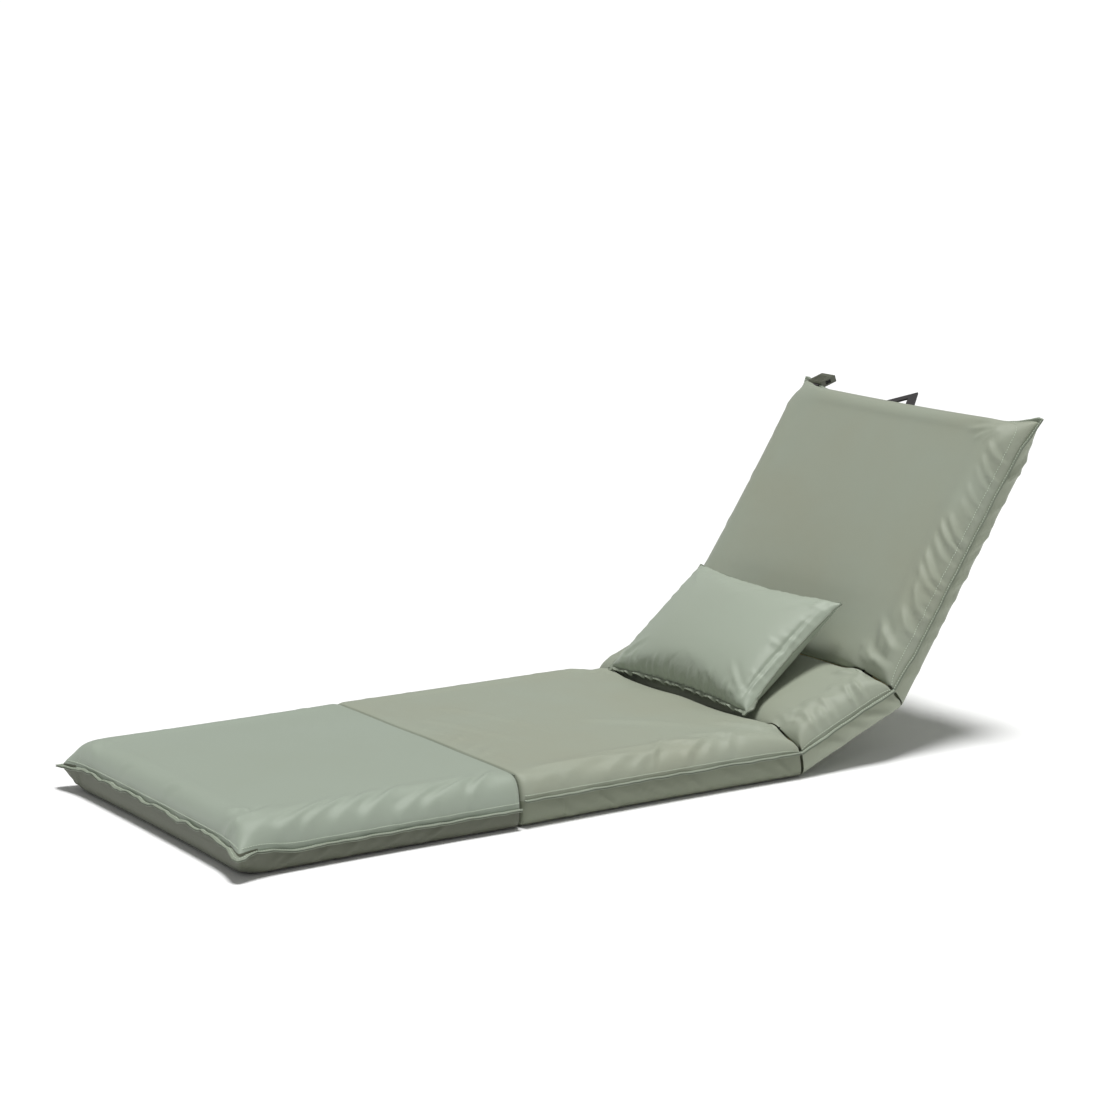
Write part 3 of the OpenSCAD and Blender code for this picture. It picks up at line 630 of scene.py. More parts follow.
class PaddedCover:
    """The sewn cover of one padded section, with the lines of its topstitching."""

    def __init__(self, pad: Pad) -> None:
        self.pad = pad
        self.nx = round(2 * HALF_W / CELL_ACROSS)
        self.ny = max(8, round(pad.length / CELL_ALONG))
        self.keys, self.quads = surface_box(self.nx, self.ny, TOP_ROW)
        self.rest = pad.shape(self.keys, self.nx, self.ny)

    def pins(self) -> Array:
        """How firmly each point of the cover keeps its place."""
        i, j, k = self.keys.T
        pins = np.full(len(k), PIN_SIDE)
        pins[k == TOP_ROW] = PIN_RIM
        deep = np.minimum(np.minimum(i, self.nx - i), np.minimum(j, self.ny - j))
        pins = np.where((k == TOP_ROW) & (deep > 3), PIN_TOP, pins)
        pins[k < SEAM_ROW] = PIN_BAND
        pins[(k <= 1) | (k == SEAM_ROW)] = 1.0
        for end, edge in ((self.pad.start, j == 0), (self.pad.end, j == self.ny)):
            if end is End.CREASE:
                pins[edge] = 1.0
            if end is End.FOLD:
                pins[edge & (k < TOP_ROW - 2)] = 1.0
                pins[edge & (k >= TOP_ROW - 2)] = PIN_FOLD
        return pins

    def gather(self) -> Array:
        """Where the cloth has spare length, from 0 to 1."""
        i, j, k = self.keys.T
        side = (1 - np.abs(across_share(i, self.nx))) * HALF_W
        out = 0.10 + np.where(i > self.nx / 2, 0.55, 0.30) * np.exp(-((side / 0.050) ** 2))
        out *= np.where(k > SEAM_ROW, 1.0, 0.35)
        for end, gap in ((self.pad.start, j * CELL_ALONG), (self.pad.end, (self.ny - j) * CELL_ALONG)):
            near = np.exp(-((gap / 0.045) ** 2))
            if end is End.CREASE:
                out = np.maximum(out, 0.75 * near)
            if end is End.FREE:
                out = np.maximum(out, 0.55 * near * (k > SEAM_ROW))
        return np.clip(out, 0, 1)

    def draw_creases(self, obj: bpy.types.Object) -> None:
        """Adds the drawn fold lines to the top of the cover, in the section's own frame."""
        co = coordinates(obj)
        emboss(obj, self.pad.creases, smooth((co[:, 2] - self.pad.seam(co[:, 1]) - 0.003) / 0.010))
        co, n = coordinates(obj), normals(obj)
        rng = np.random.default_rng(self.pad.seed + 40)
        seam = self.pad.seam(co[:, 1])
        low = (seam - co[:, 2]) / seam
        window = smooth((low - 0.06) / 0.2) * smooth((0.97 - low) / 0.25)
        amount = np.zeros(len(co))
        for side in (-1, 1):
            y = 0.02
            while y < self.pad.length - 0.02:
                slant, wide = rng.uniform(*BAND_SLANT), rng.uniform(*BAND_WIDTH)
                tall = rng.uniform(*BAND_HEIGHT)
                gap = (co[:, 1] - y - slant * (co[:, 2] - SEAM_Z)) / wide
                amount += tall * np.exp(-(gap**2)) * (co[:, 0] * side > SIDE_X)
                y += rng.uniform(*BAND_PITCH)
        for y in self.pad.band_seams:
            gap = (co[:, 1] - y) / BAND_SEAM_WIDTH
            amount -= BAND_SEAM_DEPTH * np.exp(-(gap**2)) * (co[:, 0] > SIDE_X)
        set_coordinates(obj, co + n * (amount * window)[:, None])

    def build(self) -> bpy.types.Object:
        """Makes the finished cover in the row frame."""
        obj = new_mesh(f"{self.pad.name}_cover_skin", self.rest, self.quads)
        ClothRun().run(obj, self.pins(), self.gather(), SPARE_CLOTH)
        subdivide(obj)
        self.draw_creases(obj)
        self.add_uv(obj)
        self.read_topstitch(obj)
        self.cut_pockets(obj)
        matrix = self.pad.place()
        obj.data.transform(matrix)
        if matrix.determinant() < 0:
            obj.data.flip_normals()
        obj.data.update()
        return obj

    def cut_pockets(self, obj: bpy.types.Object) -> None:
        """Opens room for the ratchet hinges in the ends that face a crease."""
        ends = ((self.pad.start, 0.0), (self.pad.end, self.pad.length))
        centres = [(side * RAIL_X, y) for side in (-1, 1) for end, y in ends if end is End.CREASE]
        if not centres:
            return
        wide, deep, high = HINGE_ROOM
        corners = [(a * wide, b * deep, c * high) for a in (-1, 1) for b in (-1, 1) for c in (-1, 1)]
        boxes = [([(x + a, y + b, SEAM_Z + c) for a, b, c in corners], BOX_FACES) for x, y in centres]
        cutter = closed_mesh("hinge_room", *join_parts(boxes))
        room = obj.modifiers.new("hinge_room", "BOOLEAN")
        room.operation, room.solver, room.object = "DIFFERENCE", "MANIFOLD", cutter
        bake(obj)
        bpy.data.objects.remove(cutter)

    def read_topstitch(self, obj: bpy.types.Object) -> None:
        """Finds the lines of topstitching on the finished cover, just over its seam."""
        co, n = coordinates(obj), normals(obj)
        place = self.pad.place()
        index = {tuple(key): at for at, key in enumerate(self.keys)}
        k = SEAM_ROW + self.pad.stitch_row
        rows = [[(i, j, k) for j in range(self.ny + 1)] for i in (self.nx, 0)]
        if self.pad.end is End.FREE:
            rows.append([(i, self.ny, k) for i in range(self.nx, -1, -1)])
        self.topstitch = []
        for row in rows:
            at = [index[key] for key in row][1:-1]
            self.topstitch.append(moved(place, co[at] + n[at] * STITCH_LIFT))

    def add_uv(self, obj: bpy.types.Object) -> None:
        """Writes a map in metres of cloth: across over the top and sides, and along."""
        co = coordinates(obj)
        down = np.where(np.abs(co[:, 0]) > SIDE_X, np.sign(co[:, 0]) * (EDGE_Z - co[:, 2]), 0)
        write_uv(obj, np.stack([co[:, 0] + down, co[:, 1] + (EDGE_Z - co[:, 2]) * 0.3], 1))


def leaves(width: float) -> tuple[tuple[float, float], ...]:
    """A flange's two leaves seen along the seam: (step out, height), anticlockwise from the top."""
    return (
        (-0.004, 0.0013),
        (-0.004, -0.0013),
        (0.45 * width, -0.0014),
        (width, -0.0017),
        (width + 0.0004, -0.0010),
        (width - 0.0004, -0.0004),
        (0.7 * width, 0.0),
        (width - 0.0001, 0.0005),
        (width + 0.0005, 0.0010),
        (width, 0.0017),
        (0.45 * width, 0.0015),
    )


def seam_path(pad: Pad, step: float = 0.006) -> list[Array]:
    """Runs of the seam line round a section's free edges, in its own frame.

    Args:
        pad: The section.
        step: Distance between points in metres.

    Returns:
        One run for a section with a free end, or one for each side.
    """
    inset = ROWS_BELOW[SEAM_ROW][1]
    n = max(6, round(pad.length / step))
    y = np.linspace(0.004 if pad.start is End.FOLD else 0.0, pad.length, n)
    v = y / pad.length
    x = HALF_W - inset - pad.draw_in * (1 - (2 * v - 1) ** 2)
    near = np.stack([x, y, pad.seam(y)], 1)
    far = near * (-1, 1, 1)
    if pad.end is not End.FREE:
        return [near, far]
    m = round(2 * HALF_W / step)
    u = np.linspace(1, -1, m)
    end_y = pad.length - inset - pad.draw_in * (1 - u * u)
    near[:, 1] = np.minimum(near[:, 1], pad.length - inset)
    front = np.stack([u * (HALF_W - inset), end_y, np.full(m, SEAM_Z)], 1)[1:-1]
    far_back = far[::-1].copy()
    far_back[:, 1] = np.minimum(far_back[:, 1], pad.length - inset)
    run = np.concatenate([near, front, far_back])
    keep = np.concatenate([[True], np.linalg.norm(np.diff(run, axis=0), axis=1) > 0.002])
    run = run[keep]
    return [run + pad.ear(run, np.full(len(run), SEAM_ROW))]


def distances(line: Array) -> Array:
    """Distance along a line at each of its points."""
    return np.concatenate([[0], np.cumsum(np.linalg.norm(np.diff(line, axis=0), axis=1))])


def beside(tangent: Array) -> Array:
    """Level directions to the right of the tangents of a line."""
    tangent = tangent / np.linalg.norm(tangent, axis=1, keepdims=True)
    return np.stack([tangent[:, 1], -tangent[:, 0], np.zeros(len(tangent))], 1)


def outward(run: Array, pad: Pad) -> Array:
    """Level directions away from the section at each point of a seam run."""
    tangent = np.gradient(run, axis=0)
    tangent[:, 2] = 0
    out = beside(tangent)
    middle = np.array([0, pad.length / 2, SEAM_Z])
    flip = np.sign(np.einsum("ij,ij->i", out, run - middle))
    return out * np.sign(np.median(flip))


def flange_frame(run: Array, pad: Pad, side: int) -> tuple[Array, Array]:
    """Middle line and outward directions of a flange, with its waves."""
    s = distances(run)
    out = outward(run, pad)
    seed = pad.seed * 10 + side
    fade = np.minimum(1, np.minimum(s, s[-1] - s) / 0.03)
    free = smooth((run[:, 1] - pad.length + 0.05) / 0.04) if pad.end is End.FREE else np.zeros(len(s))
    wave = (0.0008 + pad.flange_wave * free) * wave_noise(s, 0.085, seed)
    wave += (0.0003 + 0.3 * pad.flange_wave * free) * wave_noise(s, 0.024, seed + 3)
    tilt = (0.10 + 0.25 * free) * wave_noise(s, 0.11, seed + 5) * fade
    line = run.copy()
    line[:, 2] += wave * fade
    out[:, 2] += tilt
    return line, out


def tube_faces(n: int, m: int) -> list[tuple[int, ...]]:
    """Faces between n rings of m points each, with a cap at both ends."""
    faces = []
    for i in range(n - 1):
        for j in range(m):
            a, b = i * m + j, i * m + (j + 1) % m
            faces.append((a, b, b + m, a + m))
    return [*faces, tuple(range(m))[::-1], tuple(range((n - 1) * m, n * m))]


def ring(sides: int, radius: float = 1.0) -> list[tuple[float, float]]:
    """Points of a regular polygon, anticlockwise."""
    turns = np.arange(0, 2 * math.pi, 2 * math.pi / sides)
    return [(radius * math.cos(t), radius * math.sin(t)) for t in turns]


def sweep_profile(
    line: Array, out: Array, profile: Sequence[tuple[float, float]], wide: Array | float = 1.0
) -> tuple[Array, list]:
    """Sweeps a closed profile along a line and caps its ends.

    Args:
        line: Middle points.
        out: Directions of the profile's first axis.
        profile: Points (step along out, height).
        wide: Scale of the steps along out, for all or for each point of the line.

    Returns:
        Points and faces.
    """
    n, m = len(line), len(profile)
    up = np.array([0.0, 0.0, 1.0])
    scale = np.broadcast_to(np.asarray(wide, float), (n,))[:, None]
    points = np.concatenate([line + out * a * scale + up * b for a, b in profile]).reshape(m, n, 3)
    return points.transpose(1, 0, 2).reshape(-1, 3), tube_faces(n, m)


def moved(place: Matrix, points: Array) -> Array:
    """Points moved by a matrix."""
    return np.array([place @ Vector(p) for p in points])


def join_parts(parts: Sequence[tuple[Array, Sequence]]) -> tuple[Array, list]:
    """Joins point and face lists into one."""
    points, faces, base = [], [], 0
    for p, f in parts:
        points.append(p)
        faces += [tuple(int(x) + base for x in g) for g in f]
        base += len(p)
    return np.concatenate(points), faces


class SeamFlange:
    """The welted seam that stands out round a section, and its rows of stitches."""

    def __init__(self, pad: Pad) -> None:
        self.pad = pad
        self.runs = [flange_frame(r, pad, n) for n, r in enumerate(seam_path(pad))]

    def build(self) -> bpy.types.Object:
        """Makes the flange in the row frame."""
        parts = [sweep_profile(line, out, leaves(self.pad.flange_w)) for line, out in self.runs]
        return closed_mesh(f"{self.pad.name}_seam_flange", *join_parts(parts), self.pad.place())

    def stitch_lines(self, step_out: float, height: float) -> list[Array]:
        """Lines of a row of stitches in the row frame."""
        rows = [line + out * step_out + np.array([0, 0, height]) for line, out in self.runs]
        return [moved(self.pad.place(), row) for row in rows]


def linear(hex_colour: str) -> tuple[float, float, float, float]:
    """Linear colour of an sRGB hex value."""
    parts = [int(hex_colour[i : i + 2], 16) / 255 for i in (1, 3, 5)]
    return (*[c / 12.92 if c <= 0.04045 else ((c + 0.055) / 1.055) ** 2.4 for c in parts], 1.0)


def set_inputs(node: bpy.types.Node, **values: float | tuple[float, ...]) -> None:
    """Sets a node's inputs; a _ in a name stands for a space."""
    for name, value in values.items():
        node.inputs[name.replace("_", " ")].default_value = value


@dataclass(frozen=True)
class Finish:
    """A procedural finish.

    Attributes:
        name: Name of the real material.
        colour: Main colour, sRGB.
        shade: Second colour of its slow changes, sRGB.
        roughness: Surface roughness.
        metallic: 1 for bare metal.
        sheen: Weight of the fibre sheen.
        weave: Thread pitch in metres, or zero.
        bump: Height of the surface pattern in metres.
        grain: Size of the surface noise in metres.
        sewn: Whether the weave follows the piece's own cloth map.
    """

    name: str
    colour: str
    shade: str
    roughness: float
    metallic: float = 0.0
    sheen: float = 0.0
    weave: float = 0.0
    bump: float = 0.0002
    grain: float = 0.004
    sewn: bool = False

    def material(self) -> bpy.types.Material:
        """Builds the node material, once."""
        found = bpy.data.materials.get(self.name)
        if found:
            return found
        made = bpy.data.materials.new(self.name)
        made.use_nodes = True
        nodes, link = made.node_tree.nodes, made.node_tree.links.new
        shader = nodes["Principled BSDF"]
        set_inputs(shader, Roughness=self.roughness, Metallic=self.metallic)
        if self.sheen:
            set_inputs(shader, Sheen_Weight=self.sheen, Sheen_Roughness=0.45)
        where = nodes.new("ShaderNodeTexCoord")
        slow, mix = nodes.new("ShaderNodeTexNoise"), nodes.new("ShaderNodeMix")
        mix.data_type = "RGBA"
        set_inputs(slow, Scale=6.0, Detail=3.0)
        set_inputs(mix, A=linear(self.colour), B=linear(self.shade))
        bump = nodes.new("ShaderNodeBump")
        set_inputs(bump, Strength=0.6, Distance=self.bump)
        link(where.outputs["Object"], slow.inputs["Vector"])
        link(slow.outputs["Fac"], mix.inputs["Factor"])
        link(mix.outputs["Result"], shader.inputs["Base Color"])
        link(self.height(nodes, link, where), bump.inputs["Height"])
        link(bump.outputs["Normal"], shader.inputs["Normal"])
        return made

    def height(self, nodes: bpy.types.Nodes, link: Callable, where: bpy.types.Node) -> bpy.types.NodeSocket:
        """Height pattern: fine grain, and plain-weave threads where the finish has a weave."""
        grain = nodes.new("ShaderNodeTexNoise")
        set_inputs(grain, Scale=1.0 / self.grain, Detail=2.0)
        link(where.outputs["Object"], grain.inputs["Vector"])
        total = grain.outputs["Fac"]
        for axis in ("X", "Y") if self.weave else ():
            wave = nodes.new("ShaderNodeTexWave")
            wave.bands_direction = axis
            # One band of a wave texture is 2 pi / 20 of a unit wide at scale 1
            set_inputs(wave, Scale=math.pi / 10 / self.weave, Distortion=0.0)
            link(where.outputs["UV" if self.sewn else "Object"], wave.inputs["Vector"])
            add = nodes.new("ShaderNodeMath")
            add.operation = "ADD"
            link(total, add.inputs[0])
            link(wave.outputs["Fac"], add.inputs[1])
            total = add.outputs[0]
        return total


def cloth(name: str, colour: str, shade: str, roughness: float = 0.52, sheen: float = 0.15) -> Finish:
    """A woven polyester; its threads, 0.4 mm apart, are drawn coarser so that they show."""
    name = f"Woven polyester {name}"
    return Finish(name, colour, shade, roughness, sheen=sheen, weave=0.0016, bump=0.00018, sewn=True)


CLOTH = cloth("sage green", "#9aa495", "#979a86")
# A cooler copy of the same cloth for the foot: painted cool light.
FOOT_CLOTH_PAINTED_LIGHT = cloth("sage green foot", "#9ba698", "#97a191")
# A lighter copy of the same cloth for the pillow: painted light on its face.
PILLOW_CLOTH_PAINTED_LIGHT = cloth("sage green pillow", "#a3ae9e", "#9ea797", 0.50, 0.18)
# The lower bands are the same sage cloth as the top. These copies paint light and shade into it: darker on
# the foot and seat (painted shade), warmer on the lumbar and back (painted light).
SEAT_BAND_PAINTED_SHADE = cloth("olive seat band", "#7f8672", "#777d6a", 0.60, 0.10)
BACK_BAND_PAINTED_LIGHT = cloth("olive back band", "#9ba28f", "#939a86", 0.58, 0.12)
BANDS_PAINTED_SHADE_AND_LIGHT = {
    # Darkest copy: painted shade on the foot's lower band.
    "foot": cloth("olive foot band", "#626656", "#5a5e4f", 0.60, 0.10),
    "seat": SEAT_BAND_PAINTED_SHADE,
    "lumbar": BACK_BAND_PAINTED_LIGHT,
    "back": BACK_BAND_PAINTED_LIGHT,
}
SEAM = Finish("Woven polyester in the seam flange", "#8b9383", "#7f8777", 0.62, sheen=0.12, bump=0.0002)
THREAD = Finish("Polyester sewing thread mint", "#c9d4c2", "#bcc8b5", 0.55)
WEBBING = Finish("Polypropylene webbing black", "#353233", "#2a2829", 0.62, weave=0.0022, bump=0.0004)
ACETAL = Finish("Moulded acetal grey green", "#5d6051", "#53564a", 0.42, bump=0.0001)
POWDER = Finish("Powder coated steel grey", "#3c3e3e", "#353737", 0.48, bump=0.0001, grain=0.001)
ZINC = Finish("Zinc plated steel", "#b4b7b8", "#a3a7a9", 0.32, metallic=1.0, bump=0.00005)
SPRING = Finish("Spring steel", "#8d9091", "#7f8283", 0.35, metallic=1.0, bump=0.00005)
FOAM = Finish("Polyurethane foam cream", "#e6dcae", "#dccf9c", 0.9, bump=0.0008, grain=0.002)
FILLING = Finish("Polyester fibre filling", "#ecece8", "#dfe0da", 0.9, bump=0.0015)
NYLON = Finish("Nylon zip black", "#2f2e2e", "#272626", 0.55, bump=0.0003, grain=0.0015)


# Looks of the carried-over solids: the first row with a word of the piece's name counts
LOOKS = (
    (FOAM, Slot.FOAM, ("foam",)),
    (ZINC, Slot.HINGE, ("rivets", "cheeks", "ratchet_plates", "pawl_left", "pawl_right")),
    (SPRING, Slot.HINGE, ("pawl_springs", "pins")),
    (POWDER, Slot.FRAME, ("_frame",)),
    (ZINC, Slot.ZIP, ("slider",)),
    (NYLON, Slot.ZIP, ("_zip",)),
    (WEBBING, Slot.WEBBING, ("handle", "strap", "tab")),
    (ACETAL, Slot.BUCKLE, ("socket", "plug")),
    (CLOTH, Slot.FABRIC, ("welt", "cover", "gusset")),
    (FILLING, Slot.FILLING, ("filling",)),
)


def finish_piece(obj: bpy.types.Object, look: Finish) -> None:
    """Gives a piece its material."""
    obj.data.materials.clear()
    obj.data.materials.append(look.material())


def paint_band(obj: bpy.types.Object, pad: Pad) -> None:
    """Gives the lower band and the underside of a cover a tinted copy of the cloth: painted shade on the
    foot and seat, painted light on the lumbar and back.
    """
    # Painted shade and painted light: the faces below the seam take the band's tinted copy of the cloth.
    obj.data.materials.append(BANDS_PAINTED_SHADE_AND_LIGHT[pad.name].material())
    back = pad.place().inverted()
    for face in obj.data.polygons:
        middle = back @ face.center
        if middle.z < pad.seam(middle.y):
            face.material_index = 1


class Hinge(Enum):
    """The two ratchet creases: (body below, body above)."""

    LUMBAR = ("seat", "lumbar")
    BACK = ("lumbar", "back")

    def span(self) -> tuple[Vector, Vector]:
        """Points between which cloth turns from one body to the other."""
        if self is Hinge.LUMBAR:
            angle = LUMBAR_ANGLE / 2
            pin = Vector((0, HINGE_Y, SEAM_Z))
        else:
            angle = LUMBAR_ANGLE + BACK_ANGLE / 2
            pin = Vector(
                (0, HINGE_Y + LUMBAR_L * math.cos(LUMBAR_ANGLE), SEAM_Z + LUMBAR_L * math.sin(LUMBAR_ANGLE))
            )
        reach = Vector((0, math.cos(angle), math.sin(angle))) * CREASE_REACH
        return pin - reach, pin + reach

    def blend(self, obj: bpy.types.Object) -> None:
        """Bakes a piece's placing into its mesh."""
        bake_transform(obj)


# A face with more sides than this is a cap or an end, and is shaded flat
CAP_SIDES = 8


def split_halves(obj: bpy.types.Object, axis_point: Vector, axis: Vector) -> list[bpy.types.Object]:
    """Cuts a closed mesh in two along a plane, with capped ends and unbroken shading.

    Args:
        obj: Mesh in the row frame; it is removed.
        axis_point: A point of the plane.
        axis: Normal of the plane.

    Returns:
        The half before the plane and the half past it.
    """
    halves = []
    for name, sign in (("lower", -1), ("upper", 1)):
        bm = bmesh.new()
        bm.from_mesh(obj.data)
        cut = bmesh.ops.bisect_plane(
            bm,
            geom=[*bm.verts, *bm.edges, *bm.faces],
            plane_co=axis_point,
            plane_no=axis * -sign,
            clear_outer=True,
        )
        rim = [e for e in cut["geom_cut"] if isinstance(e, bmesh.types.BMEdge)]
        bmesh.ops.contextual_create(bm, geom=rim)
        mesh = bpy.data.meshes.new(f"{obj.name}_{name}")
        for material in obj.data.materials:
            mesh.materials.append(material)
        bm.to_mesh(mesh)
        bm.free()
        mesh.update()
        half = link_object(f"{obj.name}_{name}", mesh)
        halves.append(half)
    smooth_across(halves, axis_point, axis)
    bpy.data.objects.remove(obj)
    return halves


def smooth_across(halves: Sequence[bpy.types.Object], point: Vector, axis: Vector) -> None:
    """Shades two halves alike along the plane where they meet."""
    rims = []
    for half in halves:
        co = coordinates(half)
        on = np.abs((co - np.array(point)) @ np.array(axis)) < 1e-6
        total = np.zeros((len(co), 3))
        for p in half.data.polygons:
            p.use_smooth = len(p.vertices) <= CAP_SIDES
            if p.use_smooth:
                for n in p.vertices:
                    total[n] += np.array(p.normal) * p.area
        rims.append((co, np.nonzero(on)[0], total))
    (co_a, on_a, sum_a), (co_b, on_b, sum_b) = rims
    where = {tuple(np.round(co_b[n], 6)): n for n in on_b}
    for n in on_a:
        m = where.get(tuple(np.round(co_a[n], 6)))
        if m is not None:
            sum_a[n] = sum_b[m] = sum_a[n] + sum_b[m]
    for half, (_, _, total) in zip(halves, rims):
        total /= np.maximum(np.linalg.norm(total, axis=1, keepdims=True), 1e-12)
        loops = []
        for p in half.data.polygons:
            loops += [tuple(total[n] if p.use_smooth else p.normal) for n in p.vertices]
        half.data.normals_split_custom_set(loops)


# A stitch from end to end: (share of its length from the middle, share of its thickness)
STITCH_FORM = ((-0.5, 0.35), (-0.3, 1.0), (0.3, 1.0), (0.5, 0.35))
# How much wider than thick it is
STITCH_WIDE = 1.35


class StitchRow:
    """Stitches laid along a line by a node group."""

    def __init__(self, pitch: float = 0.0046, length: float = 0.0029, thick: float = 0.00055) -> None:
        self.pitch, self.length, self.thick = pitch, length, thick

    def thread(self) -> bpy.types.Object:
        """One stitch: a short six-sided bar, thinner at its ends."""
        points = []
        for x, s in STITCH_FORM:
            wide, high = s * self.thick * STITCH_WIDE, s * self.thick
            points += [(x * self.length, c * wide, d * high) for c, d in ring(6)]
        return closed_mesh("stitch_source", np.array(points), tube_faces(len(STITCH_FORM), 6))

    def group(self) -> bpy.types.GeometryNodeTree:
        """Node group: instances a stitch every pitch along the curves."""
        found = bpy.data.node_groups.get("Stitch row")
        if found:
            return found
        tree = bpy.data.node_groups.new("Stitch row", "GeometryNodeTree")
        for name, way, kind in (
            ("Geometry", "INPUT", "Geometry"),
            ("Geometry", "OUTPUT", "Geometry"),
            ("Pitch", "INPUT", "Float"),
            ("Stitch", "INPUT", "Object"),
            ("Material", "INPUT", "Material"),
        ):
            tree.interface.new_socket(name, in_out=way, socket_type=f"NodeSocket{kind}")
        new, link = tree.nodes.new, tree.links.new
        start, end = new("NodeGroupInput"), new("NodeGroupOutput")
        curve, sample = new("GeometryNodeMeshToCurve"), new("GeometryNodeCurveToPoints")
        info, turn = new("GeometryNodeObjectInfo"), new("FunctionNodeAlignEulerToVector")
        place, real = new("GeometryNodeInstanceOnPoints"), new("GeometryNodeRealizeInstances")
        paint = new("GeometryNodeSetMaterial")
        sample.mode, turn.axis = "LENGTH", "X"
        for source, output, target, entry in (
            (start, "Geometry", curve, "Mesh"),
            (curve, "Curve", sample, "Curve"),
            (start, "Pitch", sample, "Length"),
            (start, "Stitch", info, "Object"),
            (sample, "Points", place, "Points"),
            (sample, "Tangent", turn, "Vector"),
            (turn, "Rotation", place, "Rotation"),
            (info, "Geometry", place, "Instance"),
            (place, "Instances", real, "Geometry"),
            (real, "Geometry", paint, "Geometry"),
            (start, "Material", paint, "Material"),
            (paint, "Geometry", end, "Geometry"),
        ):
            link(source.outputs[output], target.inputs[entry])
        return tree

    def lay(self, name: str, lines: Sequence[Array], look: Finish) -> bpy.types.Object:
        """Lays stitches along lines in the row frame."""
        points = np.concatenate(lines)
        edges, base = [], 0
        for row in lines:
            edges += [(base + n, base + n + 1) for n in range(len(row) - 1)]
            base += len(row)
        mesh = bpy.data.meshes.new(name)
        mesh.from_pydata(points.tolist(), edges, [])
        obj = link_object(name, mesh)
        source, tree = self.thread(), self.group()
        modifier = obj.modifiers.new("stitches", "NODES")
        modifier.node_group = tree
        names = {s.name: s.identifier for s in tree.interface.items_tree if s.in_out == "INPUT"}
        modifier[names["Pitch"]] = self.pitch
        modifier[names["Stitch"]] = source
        modifier[names["Material"]] = look.material()
        bpy.context.view_layer.update()
        bake(obj)
        bpy.data.objects.remove(source)
        return obj


FOOT_CREASES = (
    *folds(
        (-0.18, 0.030, -0.02, 0.120, 0.006, 0.0009),
        (-0.20, 0.075, -0.06, 0.160, 0.007, 0.0008),
        (-0.22, 0.130, -0.10, 0.200, 0.006, 0.0007),
        (0.240, 0.430, 0.200, 0.470, 0.008, 0.0026),
        (0.06, 0.448, 0.02, 0.472, 0.007, 0.0020),
        (-0.10, 0.452, -0.13, 0.472, 0.006, 0.0016),
    ),
    *pulls(1, 0.10, 0.45, 0.042, -0.115, 0.030, 0.0050, 0.0064, 31),
    *pulls(-1, 0.02, 0.44, 0.060, -0.030, 0.020, 0.0008, 0.005, 32),
    *fan(0.262, 0.452, 0.075, (118, 160, 205, 242), 0.0075, 0.0026),
    *fan(-0.262, 0.452, 0.065, (20, 330, 298), 0.0075, 0.0022),
)
SEAT_CREASES = (
    *folds(
        (-0.10, 0.050, 0.16, 0.115, 0.008, 0.0013),
        (-0.16, 0.110, 0.12, 0.190, 0.009, 0.0011),
        (-0.05, 0.020, 0.10, 0.048, 0.006, 0.0010),
        (0.10, 0.020, 0.24, 0.036, 0.005, 0.0009),
        (0.05, 0.250, 0.225, 0.440, 0.012, 0.0016),
        (0.262, 0.020, 0.284, 0.300, 0.007, 0.0022),
        (0.245, 0.120, 0.270, 0.400, 0.008, 0.0014),
        (0.235, 0.270, 0.288, 0.380, 0.008, 0.0022),
        (0.225, 0.350, 0.288, 0.450, 0.008, 0.0026),
        (0.180, 0.440, 0.285, 0.500, 0.009, 0.0026),
    ),
    *pulls(1, 0.24, 0.42, 0.044, 0.085, 0.040, 0.0034, 0.0062, 51),
    *pulls(1, 0.02, 0.24, 0.065, 0.110, 0.016, 0.0022, 0.0060, 53),
    *pulls(-1, 0.03, 0.50, 0.070, 0.040, 0.024, 0.0008, 0.005, 52),
    *fan(0.262, 0.516, 0.095, (188, 212, 240), 0.0085, 0.0028),
    *fan(-0.240, 0.512, 0.080, (350, 320, 292, 262), 0.0080, 0.0030),
    *folds(
        (0.070, 0.012, 0.030, 0.060, 0.0055, 0.0020),
        (0.120, 0.010, 0.085, 0.050, 0.0055, 0.0018),
        (0.160, 0.012, 0.120, 0.062, 0.0060, 0.0020),
        (-0.020, 0.012, -0.060, 0.055, 0.0055, 0.0016),
    ),
)
LUMBAR_CREASES = (
    *folds(
        (0.215, 0.020, 0.285, 0.070, 0.009, 0.0030),
        (0.235, 0.060, 0.292, 0.120, 0.009, 0.0026),
        (0.240, 0.115, 0.292, 0.160, 0.008, 0.0024),
        (0.205, 0.160, 0.280, 0.185, 0.007, 0.0024),
    ),
    *pulls(1, 0.04, 0.17, 0.030, 0.014, 0.026, 0.0032, 0.0056, 71),
    *pulls(-1, 0.03, 0.18, 0.050, 0.030, 0.020, 0.0010, 0.005, 72),
    *fan(0.262, 0.016, 0.070, (96, 126, 156), 0.0080, 0.0028),
    *fan(0.262, 0.190, 0.070, (206, 236, 262), 0.0078, 0.0028),
    *fan(-0.238, 0.020, 0.060, (120, 90, 55), 0.0070, 0.0026),
    *fan(-0.236, 0.186, 0.060, (300, 262, 330), 0.0070, 0.0026),
)
BACK_CREASES = (
    *folds(
        (0.292, 0.020, 0.205, 0.060, 0.008, 0.0030),
        (0.292, 0.052, 0.222, 0.112, 0.008, 0.0028),
        (-0.16, 0.060, 0.02, 0.030, 0.010, 0.0012),
    ),
    *pulls(1, 0.09, 0.30, 0.026, 0.058, 0.018, 0.0044, 0.0056, 111),
    *pulls(1, 0.31, 0.43, 0.024, 0.040, 0.006, 0.0028, 0.0048, 113),
    *pulls(-1, 0.05, 0.46, 0.070, 0.030, 0.020, 0.0008, 0.005, 112),
    *fan(0.262, 0.018, 0.090, (98, 124, 152), 0.0085, 0.0028),
    *fan(-0.262, 0.018, 0.070, (82, 56, 28), 0.0085, 0.0024),
    *fan(0.280, 0.480, 0.085, (196, 218, 240), 0.0060, 0.0024),
)
